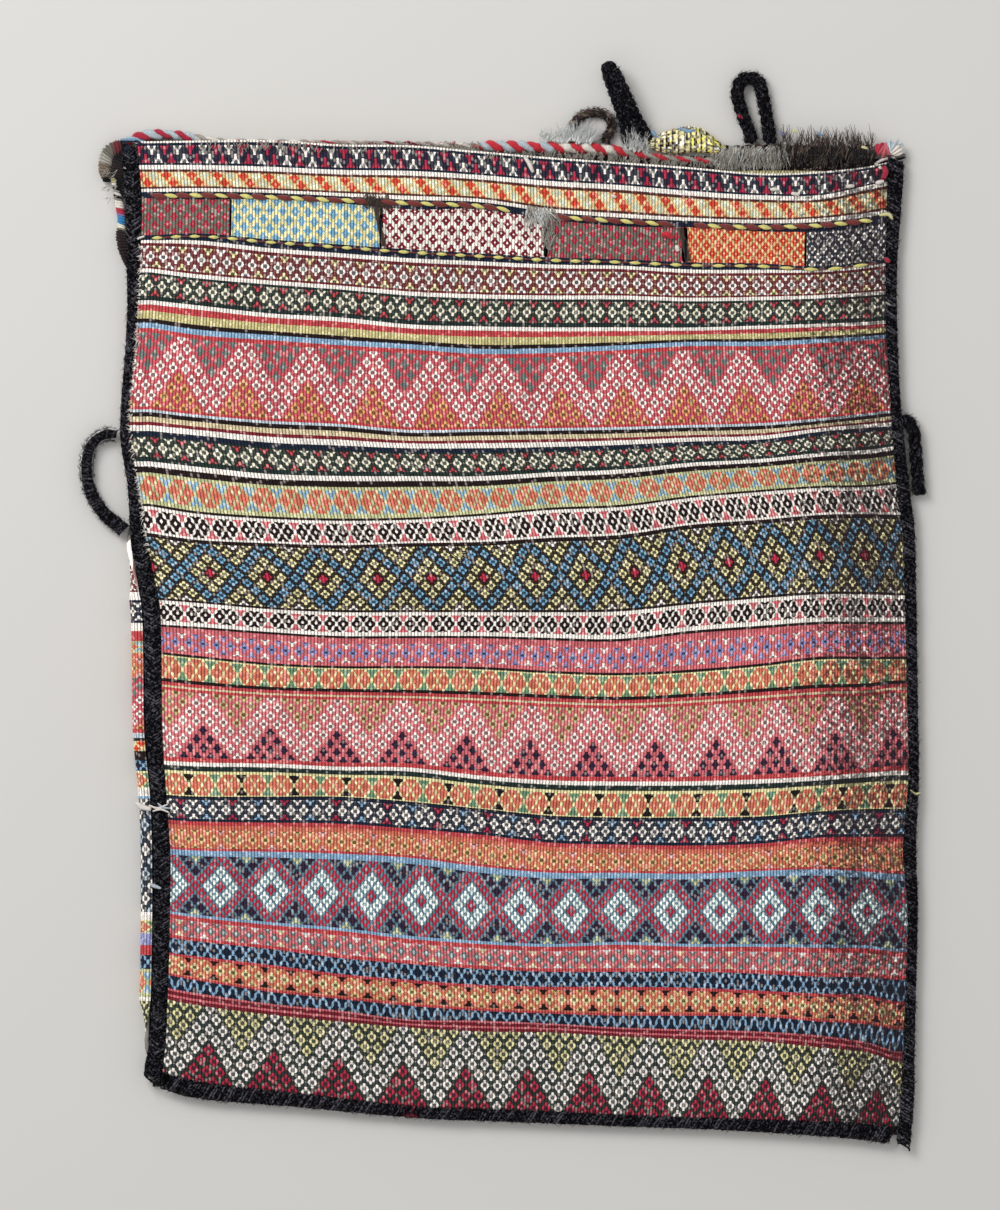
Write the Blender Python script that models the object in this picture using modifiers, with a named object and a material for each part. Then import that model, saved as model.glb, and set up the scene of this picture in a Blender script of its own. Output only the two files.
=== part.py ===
"""Flat-woven wool storage bag, empty and lying on its back.

A patterned front panel and a back panel are joined down both sides and along the bottom by goat-hair
bindings. The mouth is open towards +Y. Two plaited loops and a small one stand out of the back rim, and
would be drawn through the slits of the front panel to close the bag. A carrying loop is on each side.

Metres. +X is the bag's right as it is looked down on, +Y its mouth and +Z up. The origin is on the floor
under the middle of the back panel.
"""
import math

import bmesh
import bpy
from mathutils import Vector

# Driving sizes
CLOTH_WIDTH = 0.456
CLOTH_HEIGHT = 0.569
CLOTH_THICKNESS = 0.0024
PANEL_RISE = 0.016
SIDE_SLOPE = 0.045
BOTTOM_SLOPE = 0.068
SLOPE_SHARPNESS = 6
MOUTH_SHARE = 0.8
RIPPLE = 0.0008
RIB = 0.0005
RIB_WIDTH = 0.0018
BINDING_WIDTH = 0.0108
BINDING_HEIGHT = 0.0072
ROLL_RADIUS = 0.0060
ROLL_LEAD = 0.0080
RIM_CORD = 0.0060
CORNER_CORD = 0.0090
HAIR_FRINGE = 0.0072
CLOSURE_CORD = 0.0084
CARRY_CORD = 0.0084
SMALL_CORD = 0.0054
SLIT_CORD = 0.0032
TACK_CORD = 0.0030
STITCH_THREAD = 0.0016
LUMP_LENGTH = 0.038
LUMP_DEPTH = 0.011
LUMP_HEIGHT = 0.008
TOUCH = 0.0003
SEAT = 0.0006

# Points on the bag are read in the photograph's pixels, and this frame turns them into shares of the
# cloth: its straight sides and the mean heights of its mouth and its bottom edge.
PHOTO_LEFT = 137
PHOTO_RIGHT = 897
PHOTO_TOP = 156
PHOTO_BOTTOM = 1104

# Each seam: place along it, centre of its binding, and the share of the full width that it shows
LEFT_SEAM = (
    (151, 129.5, 0.95), (199, 133, 1.0), (243, 133, 0.9), (307, 132, 0.65), (360, 129, 0.6),
    (404, 125, 0.55), (440, 125, 0.6), (489, 133, 0.65), (540, 138, 0.9), (604, 151, 1.0),
    (655, 153, 1.0), (732, 154, 1.0), (798, 159, 0.9), (856, 162, 1.0), (958, 161, 0.95),
    (1035, 158, 0.95), (1078, 152, 1.1),
)
RIGHT_SEAM = (
    (160.5, 896.5, 1.0), (220, 894, 0.8), (260, 892, 0.7), (330, 892, 0.7), (400, 896, 0.6),
    (440, 899, 0.7), (500, 905, 0.8), (530, 909, 0.75), (600, 911, 0.7), (700, 913, 0.65),
    (780, 914, 0.65), (850, 910, 0.8), (908, 913, 0.65), (1003, 911, 0.65), (1060, 909, 0.75),
    (1099, 908, 0.8), (1145, 904, 0.85),
)
BOTTOM_SEAM = (
    (168, 1083, 1.0), (200, 1091, 1.0), (300, 1101, 0.85), (420, 1113, 0.7), (500, 1116, 0.75),
    (620, 1121, 0.7), (736, 1125, 0.75), (850, 1131, 0.95), (891, 1136, 1.0),
)
# How far the back panel is rolled up round the left seam, in degrees, at places down the bag
LEFT_ROLL = ((151, 0), (505, 0), (550, 90), (600, 180), (1000, 180), (1040, 90), (1072, 0))

# Where each woven band begins, at these places across the bag
BAND_STATIONS = (150, 270, 410, 550, 690, 820, 895)
BAND_LINES = {
    "mouth": (141, 141, 146, 158, 168, 173, 160),
    "gold": (165, 168, 172, 183, 192, 197, 180),
    "slit edge": (188, 190, 196, 209, 218, 218, 208),
    "slit blocks": (199, 200, 209, 220, 230, 230, 220),
    "stitched strip": (235, 240, 250, 258, 263, 266, 257),
    "red brown": (239, 249, 259, 265, 270, 269, 261),
    "green navy": (268, 281, 292, 296, 298, 295, 290),
    "stripes": (300, 314, 325, 328, 328, 324, 320),
    "upper zigzag": (323, 336, 345, 349, 342, 339, 333),
    "black stripe": (412, 424, 433, 431, 428, 421, 412),
    "navy": (426, 438, 444, 443, 438, 428, 422),
    "leaf green": (462, 474, 477, 473, 463, 453, 446),
    "white above": (504, 517, 518, 508, 496, 486, 482),
    "upper diamonds": (534, 544, 544, 539, 526, 516, 516),
    "white below": (597, 607, 610, 610, 602, 592, 593),
    "pink": (623, 632, 636, 638, 631, 622, 622),
    "yellow": (651, 663, 666, 671, 670, 657, 657),
    "middle zigzag": (677, 687, 690, 695, 694, 685, 681),
    "second yellow": (760, 763, 767, 780, 781, 776, 771),
    "second navy": (794, 796, 801, 815, 817, 811, 809),
    "orange": (818, 821, 827, 841, 844, 836, 836),
    "lower diamonds": (849, 852, 858, 873, 874, 870, 876),
    "red": (911, 924, 937, 945, 945, 946, 951),
    "blue": (935, 947, 962, 970, 971, 976, 980),
    "red gold": (950, 964, 979, 986, 987, 993, 1001),
    "second blue": (972, 990, 1005, 1013, 1015, 1020, 1030),
    "dark red": (985, 1002, 1018, 1022, 1029, 1035, 1051),
    "bottom zigzag": (996, 1014, 1027, 1031, 1039, 1046, 1061),
}
# Each band: the dye of the raised line that opens it and of its field, then its figure and the dyes of the
# fields above and below that figure
BANDS = {
    "mouth": ("ivory", "navy"),
    "gold": ("ivory", "gold"),
    "slit edge": ("ivory", "navy"),
    "slit blocks": (None, "blocks"),
    "stitched strip": (None, "navy"),
    "red brown": ("ivory", "crimson"),
    "green navy": ("ivory", "green_navy"),
    "stripes": ("ivory", "gold"),
    "upper zigzag": ("light_blue", "ivory", "teeth", "grey_green", "ochre"),
    "black stripe": ("black", "gold"),
    "navy": ("ivory", "navy"),
    "leaf green": ("ivory", "leaf"),
    "white above": ("black", "ivory"),
    "upper diamonds": ("black", "gold", "diamonds", "light_blue", "light_blue"),
    "white below": ("black", "ivory"),
    "pink": ("black", "pink"),
    "yellow": ("black", "gold"),
    "middle zigzag": ("black", "pink", "teeth", "ochre", "navy"),
    "second yellow": ("ivory", "gold"),
    "second navy": (None, "navy"),
    "orange": ("red", "orange"),
    "lower diamonds": ("light_blue", "ivory", "diamonds", "navy", "navy"),
    "red": ("light_blue", "red"),
    "blue": (None, "light_blue"),
    "red gold": (None, "orange"),
    "second blue": (None, "light_blue"),
    "dark red": (None, "crimson"),
    "bottom zigzag": (None, "ivory", "teeth", "green_navy", "red"),
}
# Figures in the cloth, in lozenges of the weave: the whole width, then each kind's first point and step
LOZENGES = 59.2
FIGURES = {"teeth": (3.3, 5.0), "diamonds": (4.0, 4.0)}
FIGURE_MARGIN = 0.08
PLAIN_COLUMNS = 16
# Slits between the coloured blocks: place across the bag and width
SLITS = ((231, 0.0012), (380, 0.0020), (546, 0.0030), (684, 0.0036), (804, 0.0012))
BLOCK_DYES = ("grey_green", "light_blue", "crimson", "grey_green", "orange", "navy")
# Where the two-ply cords over the slits begin and end, and how far below the slit edge's line they lie
SLIT_CORD_SPANS = ((152, 374), (383, 522), (557, 678), (695, 880))
SLIT_CORD_DROP = 6.5
CORD_POINT_SPACING = 12
STITCH_SPAN = (152, 882)
STITCH_DROP = 3.0

# Routes of the cords, in photograph pixels with heights over the floor
BACK_RIM = ((122, 142), (134, 138), (146, 134.5), (166, 133.5), (186, 136), (220, 139.5), (320, 141.5),
            (420, 143), (480, 146), (560, 148), (640, 148), (716, 149))
FRINGE_RIM = ((723, 149), (770, 148), (820, 149), (866, 151))
LEFT_CORNER = ((100, 186), (101, 168), (106, 153), (113, 145), (121, 142))
RIGHT_CORNER = ((874, 151), (886, 150), (897, 152))
LEFT_CLOSURE = ((630, 140.5, 0.0), (628, 133, 0.0), (620, 108, 0.0), (609, 80, 0.05), (606, 68, 0.5),
                (611, 72, 1.0), (621, 84, 1.0), (634, 108, 0.9), (645, 126, 0.25), (647.5, 134, 0.0),
                (648, 140.5, 0.0))
RIGHT_CLOSURE = ((751, 141.3), (750.5, 133), (744, 116), (739, 100), (738, 88), (743, 79), (752, 77),
                 (760, 82), (763, 94), (766, 110), (769, 126), (770, 133), (770, 141.3))
SMALL_LOOP = ((574, 141), (572, 130), (577, 118), (589, 112), (602, 112), (611, 119), (611, 130),
              (606, 137), (605, 141))
LEFT_CARRY = ((115.5, 434), (106, 434), (97, 438), (89, 447), (86, 460), (86, 475), (89, 490), (96, 504),
              (106, 516), (116, 524), (123, 530))
RIGHT_CARRY = ((904.8, 421.5), (909, 421.5), (914, 430), (916, 444), (917, 458), (918, 472), (919, 484),
               (920, 494))
YELLOW_LUMP = (690, 141)

DYES = {
    "ivory": (0.80, 0.74, 0.68),
    "navy": (0.012, 0.018, 0.038),
    "green_navy": (0.018, 0.030, 0.028),
    "black": (0.012, 0.008, 0.008),
    "red": (0.48, 0.045, 0.050),
    "crimson": (0.21, 0.018, 0.030),
    "pink": (0.56, 0.13, 0.14),
    "gold": (0.66, 0.50, 0.19),
    "ochre": (0.48, 0.25, 0.07),
    "orange": (0.60, 0.14, 0.07),
    "leaf": (0.40, 0.42, 0.16),
    "light_blue": (0.21, 0.37, 0.55),
    "grey_green": (0.15, 0.18, 0.16),
    "goat_hair": (0.011, 0.012, 0.018),
    "brown_hair": (0.11, 0.065, 0.045),
    "stitch_yellow": (0.68, 0.63, 0.16),
}

# Heights that follow from the sizes above
BACK_MIDDLE = CLOTH_THICKNESS / 2
SEAM_HEIGHT = CLOTH_THICKNESS + TOUCH + BINDING_HEIGHT / 2


def place_x(px):
    """X of a place across the photograph."""
    return ((px - PHOTO_LEFT) / (PHOTO_RIGHT - PHOTO_LEFT) - 0.5) * CLOTH_WIDTH


def place_y(py):
    """Y of a place down the photograph."""
    return (0.5 - (py - PHOTO_TOP) / (PHOTO_BOTTOM - PHOTO_TOP)) * CLOTH_HEIGHT


def smooth_value(pairs, place):
    """The value at a place, on a smooth line through (place, value) pairs, level past both ends."""
    if place <= pairs[0][0]:
        return pairs[0][1]
    if place >= pairs[-1][0]:
        return pairs[-1][1]
    n = max(k for k in range(len(pairs) - 1) if pairs[k][0] <= place)
    (start, low), (end, high) = pairs[n], pairs[n + 1]
    before = pairs[n - 1] if n else pairs[n]
    after = pairs[n + 2] if n + 2 < len(pairs) else pairs[n + 1]
    slope_in = (high - before[1]) / (end - before[0])
    slope_out = (after[1] - low) / (after[0] - start)
    span = end - start
    t = (place - start) / span
    return (
        low * (2 * t**3 - 3 * t**2 + 1)
        + slope_in * span * (t**3 - 2 * t**2 + t)
        + high * (3 * t**2 - 2 * t**3)
        + slope_out * span * (t**3 - t**2)
    )


def straight_value(pairs, place):
    """The value at a place, on straight runs through (place, value) pairs."""
    for (start, low), (end, high) in zip(pairs, pairs[1:]):
        if place <= end:
            share = max(0.0, (place - start) / (end - start))
            return low + (high - low) * share
    return pairs[-1][1]


def smooth_route(points, steps):
    """A smooth curve through chosen points, with a number of steps between each two."""
    points = [Vector(p) for p in points]
    ends = [2 * points[0] - points[1]] + points + [2 * points[-1] - points[-2]]
    route = []
    for a, b, c, d in zip(ends, ends[1:], ends[2:], ends[3:]):
        for k in range(steps):
            t = k / steps
            bend = 2 * a - 5 * b + 4 * c - d
            turn = 3 * b - a - 3 * c + d
            route.append(0.5 * (2 * b + (c - a) * t + bend * t**2 + turn * t**3))
    return route + [points[-1]]


def seam_centre(seam, place):
    """A seam's binding centre, in photograph pixels."""
    return smooth_value([(p, centre) for p, centre, share in seam], place)


def seam_half_width(seam, place):
    """Half the width of a seam's binding, in metres."""
    return smooth_value([(p, share) for p, centre, share in seam], place) * BINDING_WIDTH / 2


def left_stations():
    """Places down the left seam where the binding and the back panel are worked out, close at the roll."""
    places = [LEFT_SEAM[0][0]]
    while places[-1] < LEFT_SEAM[-1][0] - 1:
        turning = any(start[1] != end[1] and start[0] <= places[-1] < end[0]
                      for start, end in zip(LEFT_ROLL, LEFT_ROLL[1:]))
        places.append(min(places[-1] + (12 if turning else 38), LEFT_SEAM[-1][0]))
    return places


def left_roll(py):
    """How far the back panel is rolled up at the left, in radians."""
    return math.radians(straight_value(LEFT_ROLL, py))


def roll_end(py):
    """Where the back panel's rolled edge ends, from the left binding's centre: out to its side, and up."""
    angle = left_roll(py)
    share = seam_half_width(LEFT_SEAM, py) * 2 / BINDING_WIDTH
    half_width = share * BINDING_WIDTH / 2
    half_height = share * BINDING_HEIGHT / 2
    side = math.radians(270) - min(angle, math.pi / 2)
    normal = Vector((math.cos(side) / half_width, math.sin(side) / half_height)).normalized()
    past = max(0.0, angle - math.pi / 2) / (math.pi / 2)
    clearance = SEAT + CLOTH_THICKNESS / 2 * (1 - past)
    return Vector((half_width * math.cos(side), half_height * math.sin(side))) + normal * clearance


def left_seam_height(py):
    """Height of the left binding's centre: on the back panel, or on its roll."""
    return BACK_MIDDLE + ROLL_RADIUS * (1 - math.cos(left_roll(py))) - roll_end(py).y


def left_edge(py):
    """X of the front panel's left edge."""
    return place_x(seam_centre(LEFT_SEAM, py)) + seam_half_width(LEFT_SEAM, py) + SEAT


def right_edge(py):
    """X of the front panel's right edge."""
    return place_x(seam_centre(RIGHT_SEAM, py)) - seam_half_width(RIGHT_SEAM, py) - SEAT


def bottom_edge(px):
    """Y of the front panel's bottom edge."""
    return place_y(seam_centre(BOTTOM_SEAM, px)) + seam_half_width(BOTTOM_SEAM, px) + SEAT


def soft_least(*shares):
    """The least of some shares, rounded off where two of them are close."""
    if min(shares) <= 0:
        return 0.0
    return sum(share**-SLOPE_SHARPNESS for share in shares) ** (-1 / SLOPE_SHARPNESS)


def front_height(px, py):
    """Height of the front panel's middle layer, which slopes up from its seams to an almost flat middle."""
    across = (px - PHOTO_LEFT) / (PHOTO_RIGHT - PHOTO_LEFT)
    down = (py - PHOTO_TOP) / (PHOTO_BOTTOM - PHOTO_TOP)
    across = min(max(across, 0.0), 1.0)
    down = min(max(down, 0.0), 1.0)
    sides = left_seam_height(py) + (SEAM_HEIGHT - left_seam_height(py)) * across
    base = sides + (SEAM_HEIGHT - sides) * down**6
    from_side = min(across, 1 - across) * CLOTH_WIDTH
    from_bottom = (bottom_line(px) - py) / (PHOTO_BOTTOM - PHOTO_TOP) * CLOTH_HEIGHT
    swell = soft_least(1.0, from_side / SIDE_SLOPE, from_bottom / BOTTOM_SLOPE)
    mouth = 1 - (1 - MOUTH_SHARE) * max(0.0, 1 - 4 * down) ** 2
    ripple = RIPPLE * math.sin(11.0 * across + 4.0 * down + 0.7)
    return base + swell * (PANEL_RISE * mouth + ripple)


def band_line(name, px):
    """Where a band begins, down the photograph, at a place across it."""
    return smooth_value(list(zip(BAND_STATIONS, BAND_LINES[name])), px)


def make_material(name, colour, roughness=0.9):
    """A dull dyed yarn."""
    material = bpy.data.materials.new(name)
    material.use_nodes = True
    shader = material.node_tree.nodes["Principled BSDF"]
    shader.inputs["Base Color"].default_value = (*colour, 1.0)
    shader.inputs["Roughness"].default_value = roughness
    shader.inputs["Metallic"].default_value = 0.0
    material.diffuse_color = (*colour, 1.0)
    return material


def add_object(name, data, collection):
    """Links a new object under its node's name."""
    item = bpy.data.objects.new(name, data)
    collection.objects.link(item)
    return item


def columns_of(first, step):
    """Shares of the width where a figure's points and hollows lie, with both edges."""
    places = []
    place = first - step
    while place < LOZENGES:
        if place > 0.15 * step:
            places.append(place / LOZENGES)
        place += step / 2
    if 1 - places[-1] < 0.1 * step / LOZENGES:
        places.pop()
    return [0.0] + places + [1.0]


def figure_share(place, first, step):
    """0 at a figure's point and 1 in the hollow half a step away."""
    turns = (place * LOZENGES - first) / step
    return 2 * abs(turns - round(turns))


def plain_columns():
    """Even shares of the width."""
    return [k / PLAIN_COLUMNS for k in range(PLAIN_COLUMNS + 1)]


def slit_columns():
    """Shares of the width at the slits' edges and between them."""
    edges = []
    for px, width in SLITS:
        middle = (px - PHOTO_LEFT) / (PHOTO_RIGHT - PHOTO_LEFT)
        half = width / CLOTH_WIDTH / 2
        edges += [middle - half, middle + half]
    bounds = [0.0] + edges + [1.0]
    places = []
    for start, end in zip(bounds[::2], bounds[1::2]):
        places += [start, start + (end - start) / 3, end - (end - start) / 3, end]
    return places


def front_rows():
    """The front panel's rows from mouth to bottom: columns, line function, raised, dye of the field below.

    A row beside a bent one has that figure's columns. Unlike columns only ever meet between straight rows.
    """
    names = list(BAND_LINES)
    rows = []
    pixel = CLOTH_HEIGHT / (PHOTO_BOTTOM - PHOTO_TOP)

    def line(name, share=0.0, ahead=None, drop=0.0):
        """A row at a share of the way down a band."""
        def at(px):
            start = band_line(name, px) + drop / pixel
            end = band_line(ahead, px) if ahead else bottom_line(px)
            return start + (end - start) * share
        return at

    bent_columns = None
    for n, name in enumerate(names):
        opening, field, *figure = BANDS[name]
        ahead = names[n + 1] if n + 1 < len(names) else None
        straight = slit_columns() if "slit blocks" in (name, names[n - 1]) else plain_columns()
        columns = columns_of(*FIGURES[figure[0]]) if figure else straight
        drop = RIB_WIDTH if opening else 0.0
        if opening:
            rows.append((bent_columns or straight, line(name), True, opening))
        rows.append((columns, line(name, drop=drop), bool(opening), figure[1] if figure else field))
        bent_columns = columns if figure else None
        if not figure:
            continue
        kind, above, below = figure
        for side, dye in ((-1, field), (1, below)):
            rows.append((columns, figure_line(line, name, ahead, drop, kind, side), False, dye))
    rows.append((bent_columns or plain_columns(), bottom_line, False, None))
    return rows


def figure_line(line, name, ahead, drop, kind, side):
    """The upper (side -1) or lower (side 1) bound of a figure's field, as a bent row."""
    first, step = FIGURES[kind]

    def at(px):
        place = (px - PHOTO_LEFT) / (PHOTO_RIGHT - PHOTO_LEFT)
        hollow = figure_share(place, first, step)
        if kind == "teeth":
            middle = 0.5 + (hollow - 0.5) * (0.5 - FIGURE_MARGIN)
            half = 0.25
        else:
            middle = 0.5
            half = (0.5 - FIGURE_MARGIN) * (1 - hollow) + FIGURE_MARGIN / 2
        return line(name, middle + side * half, ahead, drop)(px)

    return at


def bottom_line(px):
    """The front panel's bottom edge, down the photograph."""
    share = 0.5 - bottom_edge(px) / CLOTH_HEIGHT
    return PHOTO_TOP + share * (PHOTO_BOTTOM - PHOTO_TOP)


def row_point(share, at, raised):
    """A point of the front panel at a share of its width, on a row."""
    px = PHOTO_LEFT + share * (PHOTO_RIGHT - PHOTO_LEFT)
    py = at(px)
    x = left_edge(py) + (right_edge(py) - left_edge(py)) * share
    px = PHOTO_LEFT + (x / CLOTH_WIDTH + 0.5) * (PHOTO_RIGHT - PHOTO_LEFT)
    lift = RIB if raised else 0.0
    return Vector((x, place_y(py), front_height(px, py) + lift))


def fill_strip(body, upper, lower, slot_of, skipped):
    """Faces between two rows of (share, vertex), which may have unlike columns."""
    a = b = 0
    while a < len(upper) - 1 or b < len(lower) - 1:
        next_a = upper[a + 1][0] if a < len(upper) - 1 else math.inf
        next_b = lower[b + 1][0] if b < len(lower) - 1 else math.inf
        if abs(next_a - next_b) < 1e-9:
            corners = [upper[a], lower[b], lower[b + 1], upper[a + 1]]
            a, b = a + 1, b + 1
        elif next_a < next_b:
            corners = [upper[a], lower[b], upper[a + 1]]
            a += 1
        else:
            corners = [upper[a], lower[b], lower[b + 1]]
            b += 1
        middle = sum(share for share, vertex in corners) / len(corners)
        if skipped(middle):
            continue
        face = body.faces.new([vertex for share, vertex in corners])
        face.material_index = slot_of(middle)


def make_front_panel(collection, dyes):
    """The patterned panel: one cloth, with its bands as fields of colour and its ribs raised."""
    names = list(dyes)
    mesh = bpy.data.meshes.new("front_panel")
    for dye in names:
        mesh.materials.append(dyes[dye])
    bounds = [(px - PHOTO_LEFT) / (PHOTO_RIGHT - PHOTO_LEFT) for px, width in SLITS]
    halves = [width / CLOTH_WIDTH / 2 for px, width in SLITS]
    body = bmesh.new()
    above = None
    for columns, at, raised, dye in front_rows():
        row = [(share, body.verts.new(row_point(share, at, raised))) for share in columns]
        if above:
            blocks = above_dye == "blocks"

            def slot_of(share):
                if blocks:
                    return names.index(BLOCK_DYES[sum(share > bound for bound in bounds)])
                return names.index(above_dye)

            def in_slit(share):
                return blocks and any(abs(share - b) < half * 0.9 for b, half in zip(bounds, halves))

            fill_strip(body, above, row, slot_of, in_slit)
        above, above_dye = row, dye
    bmesh.ops.delete(body, geom=[v for v in body.verts if not v.link_faces], context="VERTS")
    bmesh.ops.recalc_face_normals(body, faces=body.faces)
    if sum(face.normal.z for face in body.faces) < 0:
        bmesh.ops.reverse_faces(body, faces=body.faces)
    body.to_mesh(mesh)
    body.free()
    give_thickness(add_object("front_panel", mesh, collection))


def give_thickness(panel):
    """The cloth's thickness, half to each side of the sheet."""
    solid = panel.modifiers.new("thickness", "SOLIDIFY")
    solid.thickness = CLOTH_THICKNESS
    solid.offset = 0.0
    solid.use_even_offset = False


def back_top(px):
    """Y of the back panel's top edge, just under what finishes its rim there."""
    if px < FRINGE_RIM[0][0]:
        thickness = RIM_CORD
    elif px < FRINGE_RIM[-1][0]:
        thickness = HAIR_FRINGE
    else:
        thickness = CORNER_CORD
    return place_y(smooth_value(BACK_RIM + FRINGE_RIM + RIGHT_CORNER, px)) - thickness / 2 - SEAT


def make_back_panel(collection, dyes):
    """The back panel: flat on the floor, and rolled up round the left binding down most of its side."""
    bands = ((180, "navy"), (250, "gold"), (300, "crimson"), (360, "navy"), (420, "red"), (480, "ivory"),
             (530, "gold"), (570, "navy"), (620, "ivory"), (690, "red"), (740, "light_blue"),
             (790, "ivory"), (850, "navy"), (910, "crimson"), (960, "light_blue"), (1010, "red"),
             (PHOTO_BOTTOM, "ivory"))
    roll_steps = 8
    flat_columns = 16
    mesh = bpy.data.meshes.new("back_panel")
    names = list(dyes)
    for dye in names:
        mesh.materials.append(dyes[dye])
    body = bmesh.new()
    above = None
    rows = left_stations()
    for n, reading in enumerate(rows):
        angle = left_roll(reading)
        end = roll_end(reading)
        start_x = place_x(seam_centre(LEFT_SEAM, reading)) + end.x + ROLL_RADIUS * math.sin(angle)
        length = ROLL_RADIUS * angle + ROLL_LEAD
        right_x = place_x(seam_centre(RIGHT_SEAM, reading))
        section = []
        for k in range(roll_steps + 1):
            run = length * (1 - k / roll_steps) - ROLL_LEAD
            if run < 0:
                section.append((start_x - run, BACK_MIDDLE))
            else:
                turn = run / ROLL_RADIUS
                lift = ROLL_RADIUS * (1 - math.cos(turn))
                section.append((start_x - ROLL_RADIUS * math.sin(turn), BACK_MIDDLE + lift))
        inner = section[-1][0]
        for k in range(1, flat_columns + 1):
            section.append((inner + (right_x - inner) * k / flat_columns, BACK_MIDDLE))
        row = []
        for k, (x, z) in enumerate(section):
            px = PHOTO_LEFT + (x / CLOTH_WIDTH + 0.5) * (PHOTO_RIGHT - PHOTO_LEFT)
            if n == 0:
                y = back_top(px)
            elif n == len(rows) - 1:
                y = place_y(seam_centre(BOTTOM_SEAM, px))
            else:
                y = place_y(reading)
            row.append((k, body.verts.new((x, y, z))))
        if above:
            slot = names.index(next(dye for end_of, dye in bands if reading <= end_of))
            fill_strip(body, above, row, lambda share: slot, lambda share: False)
        above = row
    bmesh.ops.recalc_face_normals(body, faces=body.faces)
    body.to_mesh(mesh)
    body.free()
    give_thickness(add_object("back_panel", mesh, collection))


def add_cord(name, route, diameter, material, collection, radii=None, profile=None, resolution=2):
    """A cord along a route: round, or with a profile curve swept along it, and with closed ends."""
    curve = bpy.data.curves.new(name, "CURVE")
    curve.dimensions = "3D"
    curve.twist_mode = "Z_UP"
    curve.bevel_resolution = resolution
    curve.use_fill_caps = True
    if profile:
        curve.bevel_mode = "OBJECT"
        curve.bevel_object = profile
    else:
        curve.bevel_depth = diameter / 2
    spline = curve.splines.new("POLY")
    spline.points.add(len(route) - 1)
    for n, point in enumerate(route):
        spline.points[n].co = (*point, 1.0)
        spline.points[n].radius = radii[n] if radii else 1.0
    curve.materials.append(material)
    return add_object(name, curve, collection)


def make_solid(item, collection):
    """A curve's tube as a mesh of its own, with its caps joined on and its faces pointing out."""
    name = item.name
    mesh = bpy.data.meshes.new_from_object(item.evaluated_get(bpy.context.evaluated_depsgraph_get()))
    body = bmesh.new()
    body.from_mesh(mesh)
    bmesh.ops.remove_doubles(body, verts=body.verts, dist=0.00001)
    bmesh.ops.recalc_face_normals(body, faces=body.faces)
    body.to_mesh(mesh)
    body.free()
    place = item.matrix_world.copy()
    bpy.data.objects.remove(item)
    solid = add_object(name, mesh, collection)
    solid.matrix_world = place


def binding_profile(guides):
    """The oval section of a full-width binding."""
    sides = 10
    curve = bpy.data.curves.new("binding_profile", "CURVE")
    curve.dimensions = "2D"
    spline = curve.splines.new("POLY")
    spline.points.add(sides - 1)
    spline.use_cyclic_u = True
    for n in range(sides):
        turn = 2 * math.pi * n / sides
        x = BINDING_WIDTH / 2 * math.cos(turn)
        y = BINDING_HEIGHT / 2 * math.sin(turn)
        spline.points[n].co = (x, y, 0.0, 1.0)
    profile = add_object("binding_profile", curve, guides)
    profile.hide_render = True
    profile.display_type = "WIRE"
    return profile


def make_bindings(collection, guides, material):
    """Goat-hair bindings over the three seams."""
    profile = binding_profile(guides)
    steps = 22
    for name, seam in (
        ("left_binding", LEFT_SEAM), ("right_binding", RIGHT_SEAM), ("bottom_binding", BOTTOM_SEAM),
    ):
        route = []
        radii = []
        places = [seam[0][0] + (seam[-1][0] - seam[0][0]) * n / steps for n in range(steps + 1)]
        for along in left_stations() if name == "left_binding" else places:
            centre = seam_centre(seam, along)
            height = left_seam_height(along) if name == "left_binding" else SEAM_HEIGHT
            px, py = (along, centre) if name == "bottom_binding" else (centre, along)
            route.append((place_x(px), place_y(py), height))
            radii.append(seam_half_width(seam, along) * 2 / BINDING_WIDTH)
        bar = add_cord(name, route, BINDING_WIDTH, material, collection, radii=radii, profile=profile)
        make_solid(bar, collection)


def flat_route(points, height, steps):
    """A smooth route at one height over the floor, through photograph points."""
    return smooth_route([(place_x(px), place_y(py), height) for px, py in points], steps)


def make_rim(collection, dyes):
    """What finishes the back panel's mouth: its twined cord, its corners and the hair fringe."""
    rim_height = RIM_CORD / 2 + TOUCH
    add_cord("back_rim_cord", flat_route(BACK_RIM, rim_height, 3), RIM_CORD, dyes["red"], collection)
    fringe_height = HAIR_FRINGE / 2 + TOUCH
    fringe = flat_route(FRINGE_RIM, fringe_height, 3)
    add_cord("rim_hair_fringe", fringe, HAIR_FRINGE, dyes["brown_hair"], collection)
    corner_height = CORNER_CORD / 2 + TOUCH
    for name, points in (("left_corner_wrap", LEFT_CORNER), ("right_corner_wrap", RIGHT_CORNER)):
        route = flat_route(points, corner_height, 3)
        add_cord(name, route, CORNER_CORD, dyes["red"], collection)


def make_loops(collection, dyes):
    """Closure loops of plaited hair, the small brown loop, and the wrapped carrying loops."""
    closure_height = CLOSURE_CORD / 2 + TOUCH
    stacked = CLOSURE_CORD + TOUCH
    edge_on = [
        (place_x(px), place_y(py), closure_height + stacked * rise) for px, py, rise in LEFT_CLOSURE
    ]
    add_cord("left_closure_loop", smooth_route(edge_on, 3), CLOSURE_CORD, dyes["goat_hair"], collection)
    face_on = flat_route(RIGHT_CLOSURE, closure_height, 2)
    add_cord("right_closure_loop", face_on, CLOSURE_CORD, dyes["goat_hair"], collection)
    small = flat_route(SMALL_LOOP, SMALL_CORD / 2 + TOUCH, 3)
    add_cord("small_brown_loop", small, SMALL_CORD, dyes["brown_hair"], collection)
    carry_height = CARRY_CORD / 2 + TOUCH
    for name, points in (("left_carry_loop", LEFT_CARRY), ("right_carry_loop", RIGHT_CARRY)):
        add_cord(name, flat_route(points, carry_height, 2), CARRY_CORD, dyes["goat_hair"], collection)


def front_top(px, py):
    """Height of the front panel's upper face."""
    return front_height(px, py) + CLOTH_THICKNESS / 2


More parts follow.
